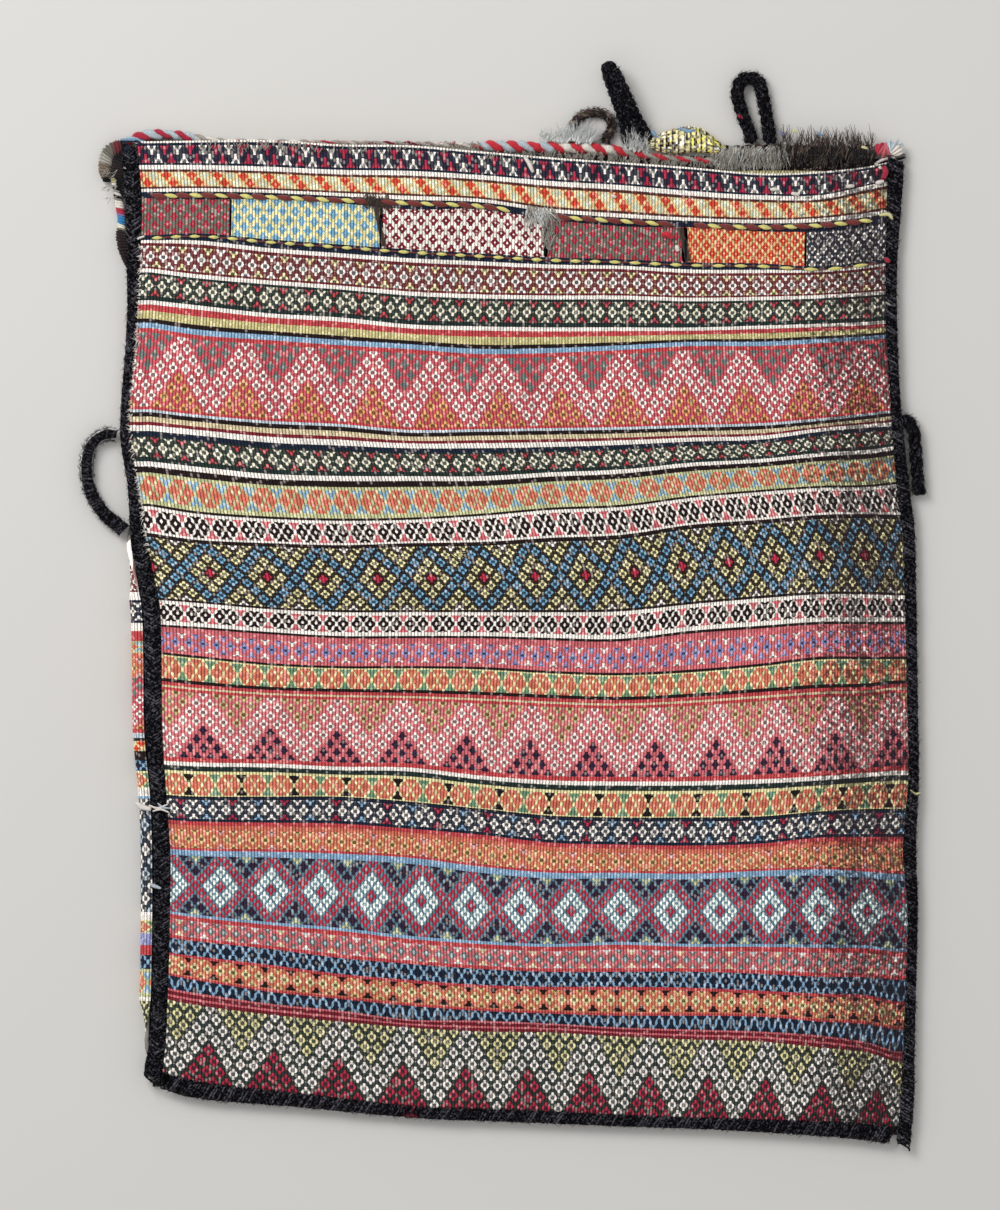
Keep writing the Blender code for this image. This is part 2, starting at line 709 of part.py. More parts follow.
def make_slit_trim(collection, dyes):
    """Two-ply cords and running stitches along the slits, and the thread bars over two of them."""
    for n, (start, end) in enumerate(SLIT_CORD_SPANS):
        count = round((end - start) / CORD_POINT_SPACING)
        route = []
        for k in range(count + 1):
            px = start + (end - start) * k / count
            py = band_line("slit edge", px) + SLIT_CORD_DROP
            route.append((place_x(px), place_y(py), front_top(px, py) + SEAT + SLIT_CORD / 2))
        add_cord(f"slit_cord_{n + 1}", route, SLIT_CORD, dyes["crimson"], collection)
    for n, (px, width) in enumerate((SLITS[1], SLITS[3])):
        top = band_line("slit blocks", px) + 1
        bottom = band_line("stitched strip", px) - 1
        route = []
        for k in range(5):
            py = top + (bottom - top) * k / 4
            route.append((place_x(px), place_y(py), front_top(px, py) + SEAT + TACK_CORD / 2))
        add_cord(f"slit_bar_{n + 1}", route, TACK_CORD, dyes["brown_hair"], collection)


def make_running_stitch(collection, dyes):
    """The thread of yellow running stitches on the strip below the slits."""
    first, last = STITCH_SPAN
    count = round((last - first) / CORD_POINT_SPACING / 2)
    route = []
    for n in range(count + 1):
        px = first + (last - first) * n / count
        py = band_line("stitched strip", px) + STITCH_DROP
        route.append((place_x(px), place_y(py), front_top(px, py) + SEAT + STITCH_THREAD / 2))
    add_cord("running_stitch", route, STITCH_THREAD, dyes["stitch_yellow"], collection, resolution=1)


def make_yellow_lump(collection, dyes):
    """Where the back panel's yellow band bulges over its rim beside the first closure loop."""
    mesh = bpy.data.meshes.new("back_rim_bulge")
    mesh.materials.append(dyes["gold"])
    body = bmesh.new()
    bmesh.ops.create_uvsphere(body, u_segments=12, v_segments=8, radius=0.5)
    bmesh.ops.scale(body, verts=body.verts, vec=(LUMP_LENGTH, LUMP_DEPTH, LUMP_HEIGHT))
    body.to_mesh(mesh)
    body.free()
    lump = add_object("back_rim_bulge", mesh, collection)
    px, py = YELLOW_LUMP
    edge = place_y(smooth_value(BACK_RIM, px)) + RIM_CORD / 2 + TOUCH + LUMP_DEPTH / 2
    lump.location = (place_x(px), edge, LUMP_HEIGHT / 2 + TOUCH)


def main():
    """Clears the scene and makes the bag."""
    for item in list(bpy.data.objects):
        bpy.data.objects.remove(item, do_unlink=True)
    parts = bpy.data.collections.new("woven_storage_bag")
    guides = bpy.data.collections.new("guides")
    bpy.context.scene.collection.children.link(parts)
    bpy.context.scene.collection.children.link(guides)
    dyes = {name: make_material(name + "_wool", colour) for name, colour in DYES.items()}
    make_front_panel(parts, dyes)
    make_back_panel(parts, dyes)
    make_bindings(parts, guides, dyes["goat_hair"])
    make_rim(parts, dyes)
    make_loops(parts, dyes)
    make_slit_trim(parts, dyes)
    make_running_stitch(parts, dyes)
    make_yellow_lump(parts, dyes)


main()
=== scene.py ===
"""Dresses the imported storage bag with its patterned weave, stitched bindings, cords, loops and loose ends.

The woven cloths, the bindings, the loops and the cords over the slits each have an operator of their own.
Places are read in the photograph's pixels and turned into metres by place_x and place_y.
"""
import math
import random
from collections import namedtuple

import bmesh
import bpy
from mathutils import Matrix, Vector, noise


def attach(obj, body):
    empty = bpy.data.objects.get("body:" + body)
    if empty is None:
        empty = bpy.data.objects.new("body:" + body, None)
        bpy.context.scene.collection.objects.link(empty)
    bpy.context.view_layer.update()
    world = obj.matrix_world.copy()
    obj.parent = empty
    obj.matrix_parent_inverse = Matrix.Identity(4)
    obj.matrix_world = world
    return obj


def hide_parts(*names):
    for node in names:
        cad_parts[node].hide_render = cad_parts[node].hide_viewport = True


bl_info = {
    "name": "Woven storage bag",
    "version": (1, 0, 0),
    "blender": (4, 5, 0),
    "location": "View3D > Sidebar > Storage bag",
    "description": "Dresses a flat-woven storage bag with its weave, stitching and loops",
    "category": "Object",
}

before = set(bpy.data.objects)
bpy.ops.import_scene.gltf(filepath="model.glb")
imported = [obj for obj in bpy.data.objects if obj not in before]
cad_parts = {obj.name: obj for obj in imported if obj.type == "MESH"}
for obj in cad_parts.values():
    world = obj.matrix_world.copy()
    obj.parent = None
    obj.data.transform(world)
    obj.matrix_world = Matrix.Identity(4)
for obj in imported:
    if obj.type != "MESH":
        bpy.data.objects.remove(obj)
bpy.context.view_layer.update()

# The photograph: metres for one of its pixels, its size, and the middle of the view
PIXEL = 0.0006
PHOTO_SIZE = (1000, 1210)
VIEW_MIDDLE = (500, 605)
VIEW_HEIGHT = 0.015
CAMERA_DISTANCE = 5.0
SENSOR = 24.0

# The cloth in those pixels: its straight sides and the mean heights of its mouth and its bottom edge
PHOTO_LEFT = 137
PHOTO_RIGHT = 897
PHOTO_TOP = 156
PHOTO_BOTTOM = 1104
CLOTH_WIDTH = 0.456
CLOTH_HEIGHT = 0.569

# The lie of the bag, as its solids have it
CLOTH_THICKNESS = 0.0024
PANEL_RISE = 0.016
SIDE_SLOPE = 0.045
BOTTOM_SLOPE = 0.068
SLOPE_SHARPNESS = 6
MOUTH_SHARE = 0.8
RIPPLE = 0.0008
BINDING_WIDTH = 0.0108
BINDING_HEIGHT = 0.0072
ROLL_RADIUS = 0.0060
TOUCH = 0.0003
FLOOR_GAP = 0.0002
INSIDE_LIFT = 0.001
SEAT = 0.0006
BACK_MIDDLE = CLOTH_THICKNESS / 2
SEAM_HEIGHT = CLOTH_THICKNESS + TOUCH + BINDING_HEIGHT / 2

# Each seam: place along it, centre of its binding, and the share of the full width that it shows
LEFT_SEAM = (
    (151, 129.5, 0.95), (199, 133, 1.0), (243, 133, 0.9), (307, 132, 0.65), (360, 129, 0.6),
    (404, 125, 0.55), (440, 125, 0.6), (489, 133, 0.65), (540, 138, 0.9), (604, 151, 1.0),
    (655, 153, 1.0), (732, 154, 1.0), (798, 159, 0.9), (856, 162, 1.0), (958, 161, 0.95),
    (1035, 158, 0.95), (1078, 152, 1.1),
)
RIGHT_SEAM = (
    (160.5, 896.5, 1.0), (220, 894, 0.8), (260, 892, 0.7), (330, 892, 0.7), (400, 896, 0.6),
    (440, 899, 0.7), (500, 905, 0.8), (530, 909, 0.75), (600, 911, 0.7), (700, 913, 0.65),
    (780, 914, 0.65), (850, 910, 0.8), (908, 913, 0.65), (1003, 911, 0.65), (1060, 909, 0.75),
    (1099, 908, 0.8), (1145, 904, 0.85),
)
BOTTOM_SEAM = (
    (168, 1083, 1.0), (200, 1091, 1.0), (300, 1101, 0.85), (420, 1113, 0.7), (500, 1116, 0.75),
    (620, 1121, 0.7), (736, 1125, 0.75), (850, 1131, 0.95), (891, 1136, 1.0),
)
# Between these places the cloth gets more and more worn, down to its dark foundation
WORN_FROM = 740
WORN_TO = 850
WORN_DYE = "#2B2023"
# Pale wool that some random stitches are mixed towards, most at their crowns: partly paler yarn, partly a
# painted highlight
PALE_WOOL_AND_HIGHLIGHT = "#E6D6CC"
UNDYED = (1.0, 1.0, 1.0)

# What each face of a cloth carries for its material, and the two kinds of node that trees use most
YARNS = ("yarn_upper", "yarn_lower", "ground_yarn", "eye_yarn")
MATHS = "ShaderNodeMath"
VECTORS = "ShaderNodeVectorMath"

# How far the back panel is rolled up round the left seam, in degrees, at places down the bag
LEFT_ROLL = ((151, 0), (505, 0), (550, 90), (600, 180), (1000, 180), (1040, 90), (1072, 0))

# Warps are counted in lozenges of the pattern, each as wide as four ribs of the weave
RIBS_TO_LOZENGE = 4
COLUMNS_TO_LOZENGE = 8
ROWS_TO_COARSE_ROW = 5
PICK = 3.2
SLIT_LIFT = 0.0008
END_SHARE = 0.06
HIDDEN_WARPS = 0.25
HIDDEN_SQUEEZE = 0.22
DIP_SLOPE = 0.9
SEAM_COVER = 9
SEAM_STEP = 8
LOZENGE_COUNT = ((160, 60.9), (420, 60.9), (577, 59.2), (905, 59.2), (1085, 60.4))
WARP_SHIFT = ((200, 0.015), (380, 0.016), (577, 0.036), (740, 0.02), (905, 0.003), (1085, 0.028))

# Where each woven line runs down the photograph, at these places across it
STATIONS = (150, 200, 270, 340, 410, 480, 550, 620, 690, 760, 820, 865, 895)
LINES = {
    "mouth": (141, 141, 141, 145, 146, 152, 158, 163, 168, 174, 172, 167, 160),
    "gold": (167, 168, 170, 173, 174, 178, 184, 188, 194, 198, 198, 188, 181),
    "slit edge": (190, 190, 192, 195, 198, 201, 211, 216, 220, 222, 220, 215, 210),
    "slit blocks": (198, 200, 200, 204, 210, 210, 220, 227, 228, 232, 232, 227, 220),
    "stitched strip": (235, 234, 240, 245, 250, 254, 258, 260, 263, 264, 267, 262, 257),
    "red brown": (241, 243, 251, 256, 261, 264, 267, 268, 272, 272, 271, 267, 262),
    "green navy": (270, 277, 283, 288, 294, 297, 298, 298, 300, 299, 297, 294, 291),
    "stripes": (302, 308, 316, 320, 327, 329, 330, 330, 330, 328, 326, 324, 321),
    "upper zigzag": (325, 333, 338, 343, 347, 352, 351, 348, 344, 344, 341, 338, 335),
    "black stripe": (414, 420, 426, 429, 435, 434, 433, 432, 430, 428, 423, 418, 414),
    "navy": (428, 433, 440, 443, 446, 446, 445, 443, 440, 438, 430, 426, 424),
    "leaf green": (464, 470, 477, 479, 479, 479, 475, 472, 465, 461, 455, 452, 448),
    "white above": (505, 513, 518, 520, 519, 515, 509, 506, 497, 491, 487, 486, 483),
    "upper diamonds": (535, 542, 545, 547, 545, 544, 540, 537, 527, 522, 517, 516, 517),
    "white below": (598, 602, 608, 611, 611, 611, 611, 610, 603, 597, 593, 593, 594),
    "pink": (625, 628, 633, 637, 637, 637, 639, 640, 632, 627, 623, 623, 623),
    "yellow": (652, 657, 664, 667, 667, 668, 672, 674, 671, 665, 658, 658, 658),
    "middle zigzag": (678, 683, 688, 690, 691, 693, 696, 698, 695, 690, 686, 685, 682),
    "second yellow": (762, 764, 765, 768, 769, 777, 782, 783, 783, 781, 778, 775, 773),
    "second navy": (795, 797, 797, 797, 802, 809, 816, 818, 818, 817, 812, 810, 810),
    "orange": (819, 821, 822, 823, 828, 834, 842, 844, 845, 843, 837, 837, 837),
    "lower diamonds": (851, 853, 854, 856, 860, 869, 875, 875, 876, 873, 872, 875, 878),
    "red": (911, 917, 924, 930, 938, 943, 946, 944, 946, 946, 947, 948, 952),
    "blue": (935, 941, 948, 957, 963, 968, 971, 971, 971, 973, 976, 977, 980),
    "red gold": (950, 956, 964, 973, 979, 984, 986, 986, 987, 990, 993, 995, 1002),
    "second blue": (972, 980, 991, 998, 1005, 1010, 1013, 1015, 1015, 1016, 1021, 1024, 1030),
    "dark red": (985, 993, 1003, 1010, 1019, 1020, 1023, 1027, 1029, 1031, 1035, 1042, 1052),
    "bottom zigzag": (996, 1005, 1014, 1021, 1027, 1031, 1032, 1036, 1039, 1041, 1047, 1052, 1062),
    "bottom edge": (1070, 1084, 1092, 1100, 1108, 1110, 1112, 1117, 1120, 1122, 1126, 1129, 1134),
}
FLAT_LINES = (
    "slit blocks", "stitched strip", "second navy", "blue", "red gold", "second blue", "bottom edge")

# What is woven from each line down to the next: heights in pixels, with a dye or the name of a figure
FRONT_BANDS = {
    "mouth": ((1.8, "ivory"), (21.2, "paired lozenges"), (2.2, "ivory")),
    "gold": ((2.2, "ivory"), (2.6, "umber"), (15.6, "gold pairs"), (2.2, "umber"), (1.5, "ivory")),
    "slit edge": ((1.8, "ivory"), (7.2, "navy")),
    "slit blocks": ((44, "slit blocks"),),
    "stitched strip": ((8.0, "navy"), (2.0, "ivory")),
    "red brown": ((2.0, "ivory"), (30, "red brown chain"), (2.0, "ivory")),
    "green navy": ((2.0, "ivory"), (28, "green navy chain"), (2.0, "ivory")),
    "stripes": ((2.0, "ivory"), (6.0, "red"), (7.5, "olive"), (4.0, "brown"), (2.5, "light_blue")),
    "upper zigzag": ((2.5, "light_blue"), (4.0, "red"), (69, "upper zigzag"), (2.5, "red"),
                     (2.5, "pale_blue"), (2.0, "brown")),
    "black stripe": ((2.0, "brown"), (4.5, "beige"), (3.0, "crimson"), (2.5, "ivory")),
    "navy": ((2.5, "ivory"), (4.5, "navy"), (23.5, "cream chain"), (2.5, "ivory")),
    "leaf green": ((2.0, "ivory"), (5.5, "brown"), (28, "leaf chain"), (1.2, "brown")),
    "white above": ((1.2, "brown"), (27, "upper white chain"), (2.0, "brown")),
    "upper diamonds": ((2.0, "brown"), (63, "upper diamonds"), (1.2, "brown")),
    "white below": ((1.2, "brown"), (24, "lower white chain"), (1.2, "brown")),
    "pink": ((1.2, "brown"), (28.5, "pink chain"), (1.2, "brown")),
    "yellow": ((1.2, "brown"), (21.5, "yellow chain"), (1.5, "brown")),
    "middle zigzag": ((1.8, "brown"), (3.5, "red"), (2.0, "beige"), (3.0, "red"), (68, "middle zigzag"),
                      (4.5, "red"), (2.0, "ivory")),
    "second yellow": ((2.0, "ivory"), (5.0, "green_navy"), (25, "second yellow chain"), (1.0, "brown")),
    "second navy": ((26, "navy chain"),),
    "orange": ((4.0, "red"), (23, "gold chain"), (2.5, "red"), (3.0, "light_blue")),
    "lower diamonds": ((3.0, "light_blue"), (68, "lower diamonds"), (3.0, "light_blue")),
    "red": ((4.0, "red"), (18, "grey chain"), (3.0, "red")),
    "blue": ((16, "blue lattice"),),
    "red gold": ((3.0, "red"), (21, "red gold chain"), (2.0, "red")),
    "second blue": ((10, "blue zigzag"),),
    "dark red": ((2.2, "pink"), (3.8, "crimson"), (2.2, "pink"), (3.8, "crimson")),
    "bottom zigzag": ((78, "bottom zigzag"),),
}
SLITS = ((231, 0.0012), (380, 0.0020), (546, 0.0030), (684, 0.0036), (804, 0.0012))

# A column's width in pixels, and how many columns a slit pulls aside, with how soon its pull and lift fade
COLUMN = 1.6
SLIT_REACH = 14
PULL_FADE = 5
LIFT_FADE = 3

# The back panel's bands from its rim down: heights in pixels, with a dye or the name of a figure
BACK_BANDS = (
    (16, "brown"), (16, "second yellow chain"), (3, "brown"), (26, "navy chain"), (3, "ivory"),
    (30, "red brown chain"), (3, "ivory"), (62, "upper diamonds"), (3, "ivory"), (28, "pink chain"),
    (3, "brown"), (24, "leaf chain"), (4, "ivory"), (70, "middle zigzag"), (4, "ivory"),
    (28, "green navy chain"), (4, "ivory"), (26, "gold chain"), (4, "light_blue"), (34, "navy chain"),
    (5, "ivory"), (23, "upper white chain"), (21, "red brown chain"), (8, "ivory"), (23, "navy chain"),
    (8, "ivory"), (10, "red"), (12, "leaf chain"), (25, "gold chain"), (51, "upper zigzag"),
    (4, "red"), (5, "pale_blue"), (3, "brown"), (10, "gold pairs"), (9, "brown"), (11, "blue lattice"),
    (17, "second yellow chain"), (8, "ivory"), (3, "light_blue"), (113, "navy lozenges"), (8, "ivory"),
    (13, "second yellow chain"), (12, "violet"), (10, "red"), (14, "blue lattice"), (28, "leaf chain"),
    (4, "ivory"), (70, "bottom zigzag"), (39, "beige"), (10, "crimson"),
)
BACK_TOP = 152
BACK_BOTTOM = 1120

# Cords: thickness of each, as its solid has it
RIM_CORD = 0.0060
CORNER_CORD = 0.0090
HAIR_FRINGE = 0.0072
CLOSURE_CORD = 0.0084
CARRY_CORD = 0.0084
SMALL_CORD = 0.0054
SLIT_CORD = 0.0032
TACK_CORD = 0.0030
TWIST_CORD = 0.0077
STRAND = 0.0007

# Their routes in photograph pixels. A loop that lies edge-on also has each place's share of its other leg.
RIM_START = (
    (122, 142), (134, 138), (146, 134.5), (166, 133.5), (186, 136), (220, 139.5), (320, 141.5), (420, 143))
BACK_RIM = (*RIM_START, (480, 145), (560, 147), (610, 149), (640, 154), (680, 158), (716, 160))
# The back cloth ends a little under what finishes its rim
RIM_LINE = (
    *RIM_START, (480, 146), (560, 148), (640, 148), (716, 149), (770, 148), (820, 149), (866, 151),
    (897, 152))
RIM_COVER = 0.0036
RIM_DEPTH = 4
FRINGE_RIM = ((723, 149), (770, 148), (820, 149), (866, 151))
# Each wrapped corner: place, share of the corner's thickness, and dye
LEFT_CORNER = (
    (123, 143, 0.7, "goat_hair"), (116, 147, 1.0, "red_brown"), (109, 151, 1.0, "grey_olive"),
    (105, 159, 1.0, "grey_wool"), (104, 169, 0.95, "worn_brown"), (107, 180, 0.7, "goat_hair"))
LEFT_HOLLOW = (
    (128, 147, 0.7, "navy"), (119, 157, 0.9, "goat_hair"), (117, 169, 0.9, "brown"),
    (118, 182, 0.7, "goat_hair"), (120, 194, 0.5, "goat_hair"))
LEFT_EDGE = (
    (113, 178, 0.7, "olive"), (115, 184, 0.6, "ivory"), (116, 188, 0.6, "goat_hair"),
    (117, 193, 0.6, "ivory"), (117, 197, 0.6, "goat_hair"), (118, 201, 0.6, "ivory"),
    (119, 206, 0.6, "ivory"), (120, 211, 0.65, "madder"), (121, 219, 0.65, "bright_blue"),
    (121, 227, 0.6, "cream"), (121, 233, 0.85, "brown"), (123, 246, 0.95, "brown"),
    (126, 259, 0.7, "brown"), (130, 271, 0.3, "brown"))
RIGHT_CORNER = (
    (874, 152, 0.6, "brown_hair"), (880, 148, 0.9, "madder"), (886, 150, 1.0, "pink"),
    (891, 147, 1.0, "pale_blue"), (897, 150, 1.0, "ivory"), (902, 157, 0.7, "goat_hair"))
LEFT_CLOSURE = (
    (630, 140.5, 0.0), (628, 133, 0.0), (621, 108, 0.0), (611, 80, 0.05), (608, 67, 0.5), (612, 70, 1.0),
    (620, 84, 1.0), (631, 108, 0.9), (641, 126, 0.25), (645, 134, 0.0), (647, 140.5, 0.0))
RIGHT_CLOSURE = (
    (751, 141.3), (750.5, 133), (744, 116), (739, 100), (738, 88), (743, 79), (752, 77), (760, 82),
    (763, 94), (766, 110), (769, 126), (770, 133), (770, 141.3))
SMALL_LOOP = (
    (574, 141), (572, 130), (577, 118), (589, 112), (602, 112), (611, 119), (611, 130), (606, 137),
    (605, 141))
LEFT_CARRY = (
    (115.5, 434), (106, 434), (97, 438), (89, 447), (86, 460), (86, 475), (89, 490), (96, 504), (106, 516),
    (116, 524), (123, 530))
RIGHT_CARRY = (
    (904.8, 421.5), (909, 421.5), (914, 430), (916, 444), (917, 458), (918, 472), (919, 484), (920, 494))
BULGE_HEIGHT = 0.0043
BULGE_REACH = 0.0072
BULGE_RISE = 0.0040
BULGE_DYES = ("pale_yellow", "olive", "ivory", "grey_olive", "brown", "bulge_yellow")
BULGE = ((647, 142), (662, 142), (678, 141), (694, 140), (708, 143), (727, 150))
SLIT_CORD_SPANS = ((152, 374), (383, 522), (557, 678), (695, 880))
SLIT_CORD_DROP = 6.0
SLIT_CORD_PITCH = 25.3
STITCH_SPAN = (152, 882)
STITCH_DROP = 3.0

# Dyes of the two plies of the rim's cords, from each place across the photograph on
RIM_YARNS = (
    (100, "pale_blue", "ivory"), (112, "madder", "pale_blue"), (196, "grey_wool", "ivory"),
    (318, "madder", "grey_wool"), (342, "ivory", "grey_wool"), (362, "crimson", "grey_wool"),
    (424, "grey_wool", "ivory"), (480, "rim_red", "pale_blue"), (552, "rim_red", "ivory"),
    (622, "rim_red", "grey_wool"))
RIM_SHARES = (
    (122, 0.8), (150, 1.0), (190, 0.9), (215, 0.45), (470, 0.45), (492, 1.1), (612, 1.1), (640, 0.7),
    (716, 0.55))

Tuft = namedtuple("Tuft", "left top right bottom places hair angle dye")
# Loose ends in photograph pixels: where they grow, how many, the length of a hair, which way it leans in
# degrees from the right, and its dye
TUFTS = (
    Tuft(539, 136, 562, 142, 70, 12, 82, "frayed"),
    Tuft(560, 136, 576, 143, 70, 17, 78, "frayed"),
    Tuft(572, 136, 592, 144, 70, 23, 74, "frayed"),
    Tuft(624, 142, 648, 158, 80, 20, 86, "frayed"),
    Tuft(484, 150, 622, 157, 160, 9, 268, "grey_wool"),
    Tuft(600, 152, 722, 163, 200, 10, 262, "grey_wool"),
    Tuft(722, 144, 786, 152, 160, 22, 262, "grey_wool"),
    Tuft(715, 158, 782, 163, 90, 9, 270, "ivory"),
    Tuft(726, 144, 786, 160, 60, 14, 262, "brown"),
    Tuft(200, 140, 480, 149, 200, 8, 268, "grey_wool"),
    Tuft(230, 140, 470, 146, 26, 6, 200, "madder"),
    Tuft(777, 140, 876, 152, 120, 22, 268, "brown"),
    Tuft(777, 140, 876, 154, 80, 22, 262, "goat_hair"),
    Tuft(777, 142, 876, 156, 50, 18, 245, "worn_brown"),
    Tuft(722, 146, 786, 158, 90, 20, 255, "frayed"),
    Tuft(780, 140, 874, 150, 110, 20, 88, "brown_hair"),
    Tuft(365, 193, 390, 206, 90, 13, 270, "brown_hair"),
    Tuft(526, 206, 552, 216, 40, 26, 285, "grey_wool"),
    Tuft(526, 208, 546, 216, 30, 24, 290, "frayed"),
    Tuft(540, 236, 552, 252, 30, 14, 80, "grey_wool"),
    Tuft(104, 168, 118, 200, 20, 8, 240, "grey_wool"),
    Tuft(876, 142, 902, 158, 30, 9, 20, "pale_blue"),
    Tuft(400, 1106, 415, 1114, 16, 9, 300, "madder"),
    Tuft(450, 550, 460, 556, 6, 9, 330, "pale_yellow"),
)

# Loose goat hairs: how far they turn under, how they lean out, how deep they sit, their lengths, and how
# many there are to each place along a binding and a loop
HAIR_TURN = 0.2
HAIR_LEAN = 0.45
HAIR_SEAT = 0.9
HAIR_LENGTHS = (0.002, 0.0045)
BINDING_HAIRS = 14
LOOP_HAIRS = 8

# Pale hairs beside the left binding: how many, and from where to where down the photograph
EDGE_HAIRS = 170
EDGE_SPAN = (245, 555)

# Stray threads and skipped picks: thickness in pixels, dye and route
SNAGS = (
    (3.0, "ivory", ((135, 241), (138, 238), (144, 236))),
    (6.0, "ivory", ((136, 803), (143, 807), (151, 809))),
    (2.5, "ivory", ((149, 805), (158, 808), (168, 804))),
    (2.5, "ivory", ((153, 811), (161, 809), (169, 812))),
    (2.5, "pale_blue", ((158, 803), (163, 807), (170, 808))),
    (4.0, "pale_blue", ((150, 884), (155, 886), (161, 888))),
    (5.0, "ivory", ((524, 157), (529, 164), (533, 173))),
    (3.0, "ivory", ((123, 167), (126, 168))),
    (3.0, "navy", ((122, 143), (133, 140), (143, 144))),
    (4.5, "ivory", ((876, 163), (886, 158), (897, 156), (903, 150))),
    (3.5, "grey_wool", ((895, 163), (903, 160))),
    (6.0, "madder", ((884, 166), (886, 172), (884, 178))),
    (5.0, "madder", ((885, 258), (890, 262))),
    (2.5, "grey_wool", ((886, 302), (891, 305))),
    (4.5, "ivory", ((770, 190), (777, 190))),
    (4.5, "ivory", ((791, 194), (799, 195))),
    (4.5, "ivory", ((846, 187), (854, 186))),
    (5.0, "ivory", ((876, 183), (884, 181))),
    (4.5, "ivory", ((876, 163), (881, 168))),
    (4.0, "ivory", ((611, 196), (616, 198))),
    (4.5, "pale_yellow", ((880, 215), (889, 214), (893, 219))),
    (3.0, "pale_yellow", ((911, 790), (916, 794), (921, 793))),
    (4.0, "madder", ((383, 219), (387, 225))),
    (5.5, "ivory", ((381, 229), (385, 235))),
    (7.0, "rim_red", ((661, 236), (667, 235), (672, 239))),
    (6.0, "ivory", ((676, 246), (678, 252))),
    (3.5, "madder", ((738, 114), (743, 118))),
    (3.5, "violet", ((780, 131), (786, 135))),
    (3.5, "pale_yellow", ((793, 129), (798, 132))),
    (3.5, "light_blue", ((818, 132), (823, 135))),
    (3.5, "pale_yellow", ((862, 146), (868, 148))),
    (4.5, "light_blue", ((652, 130), (657, 137))),
    (4.5, "light_blue", ((680, 127), (688, 131), (695, 129))),
    (4.0, "light_blue", ((120, 139), (132, 139), (145, 141))),
)

Figure = namedtuple("Figure", "rows clip origin ground eye outer dye eye_size", defaults=(0.24,))


def chain(cycle, lozenge, solid=()):
    """A chain of lozenges between two rows of chevrons, which change dye in a cycle."""
    def dye_at(a, b):
        name = lozenge if b == 1 else cycle[a // 2 % len(cycle)]
        return name, name in solid
    return dye_at


def zigzag(top, bottom, solid=(), white="ivory", period=5):
    """White lozenges that climb and fall between triangles of two dyes."""
    def dye_at(a, b):
        off = a / 2 % period
        off = min(off, period - off)
        if b <= 3:
            name = white if off <= b / 2 else top
        else:
            name = bottom if off <= (b - 4) / 2 else white
        return name, name in solid
    return dye_at


def diamonds(rings, solid=(), middle=4, period=4):
    """Stepped diamonds of lozenges, one dye for each ring outwards."""
    def dye_at(a, b):
        off = a / 2 % period
        ring = min(off, period - off) + abs(b - middle) / 2
        name = rings[min(int(ring), len(rings) - 1)]
        return name, name in solid
    return dye_at


def pairs(cycle, solid=()):
    """Rows of lozenges that change dye in a cycle, each row half a lozenge on."""
    def dye_at(a, b):
        name = cycle[(a - b) // 2 % len(cycle)]
        return name, name in solid
    return dye_at


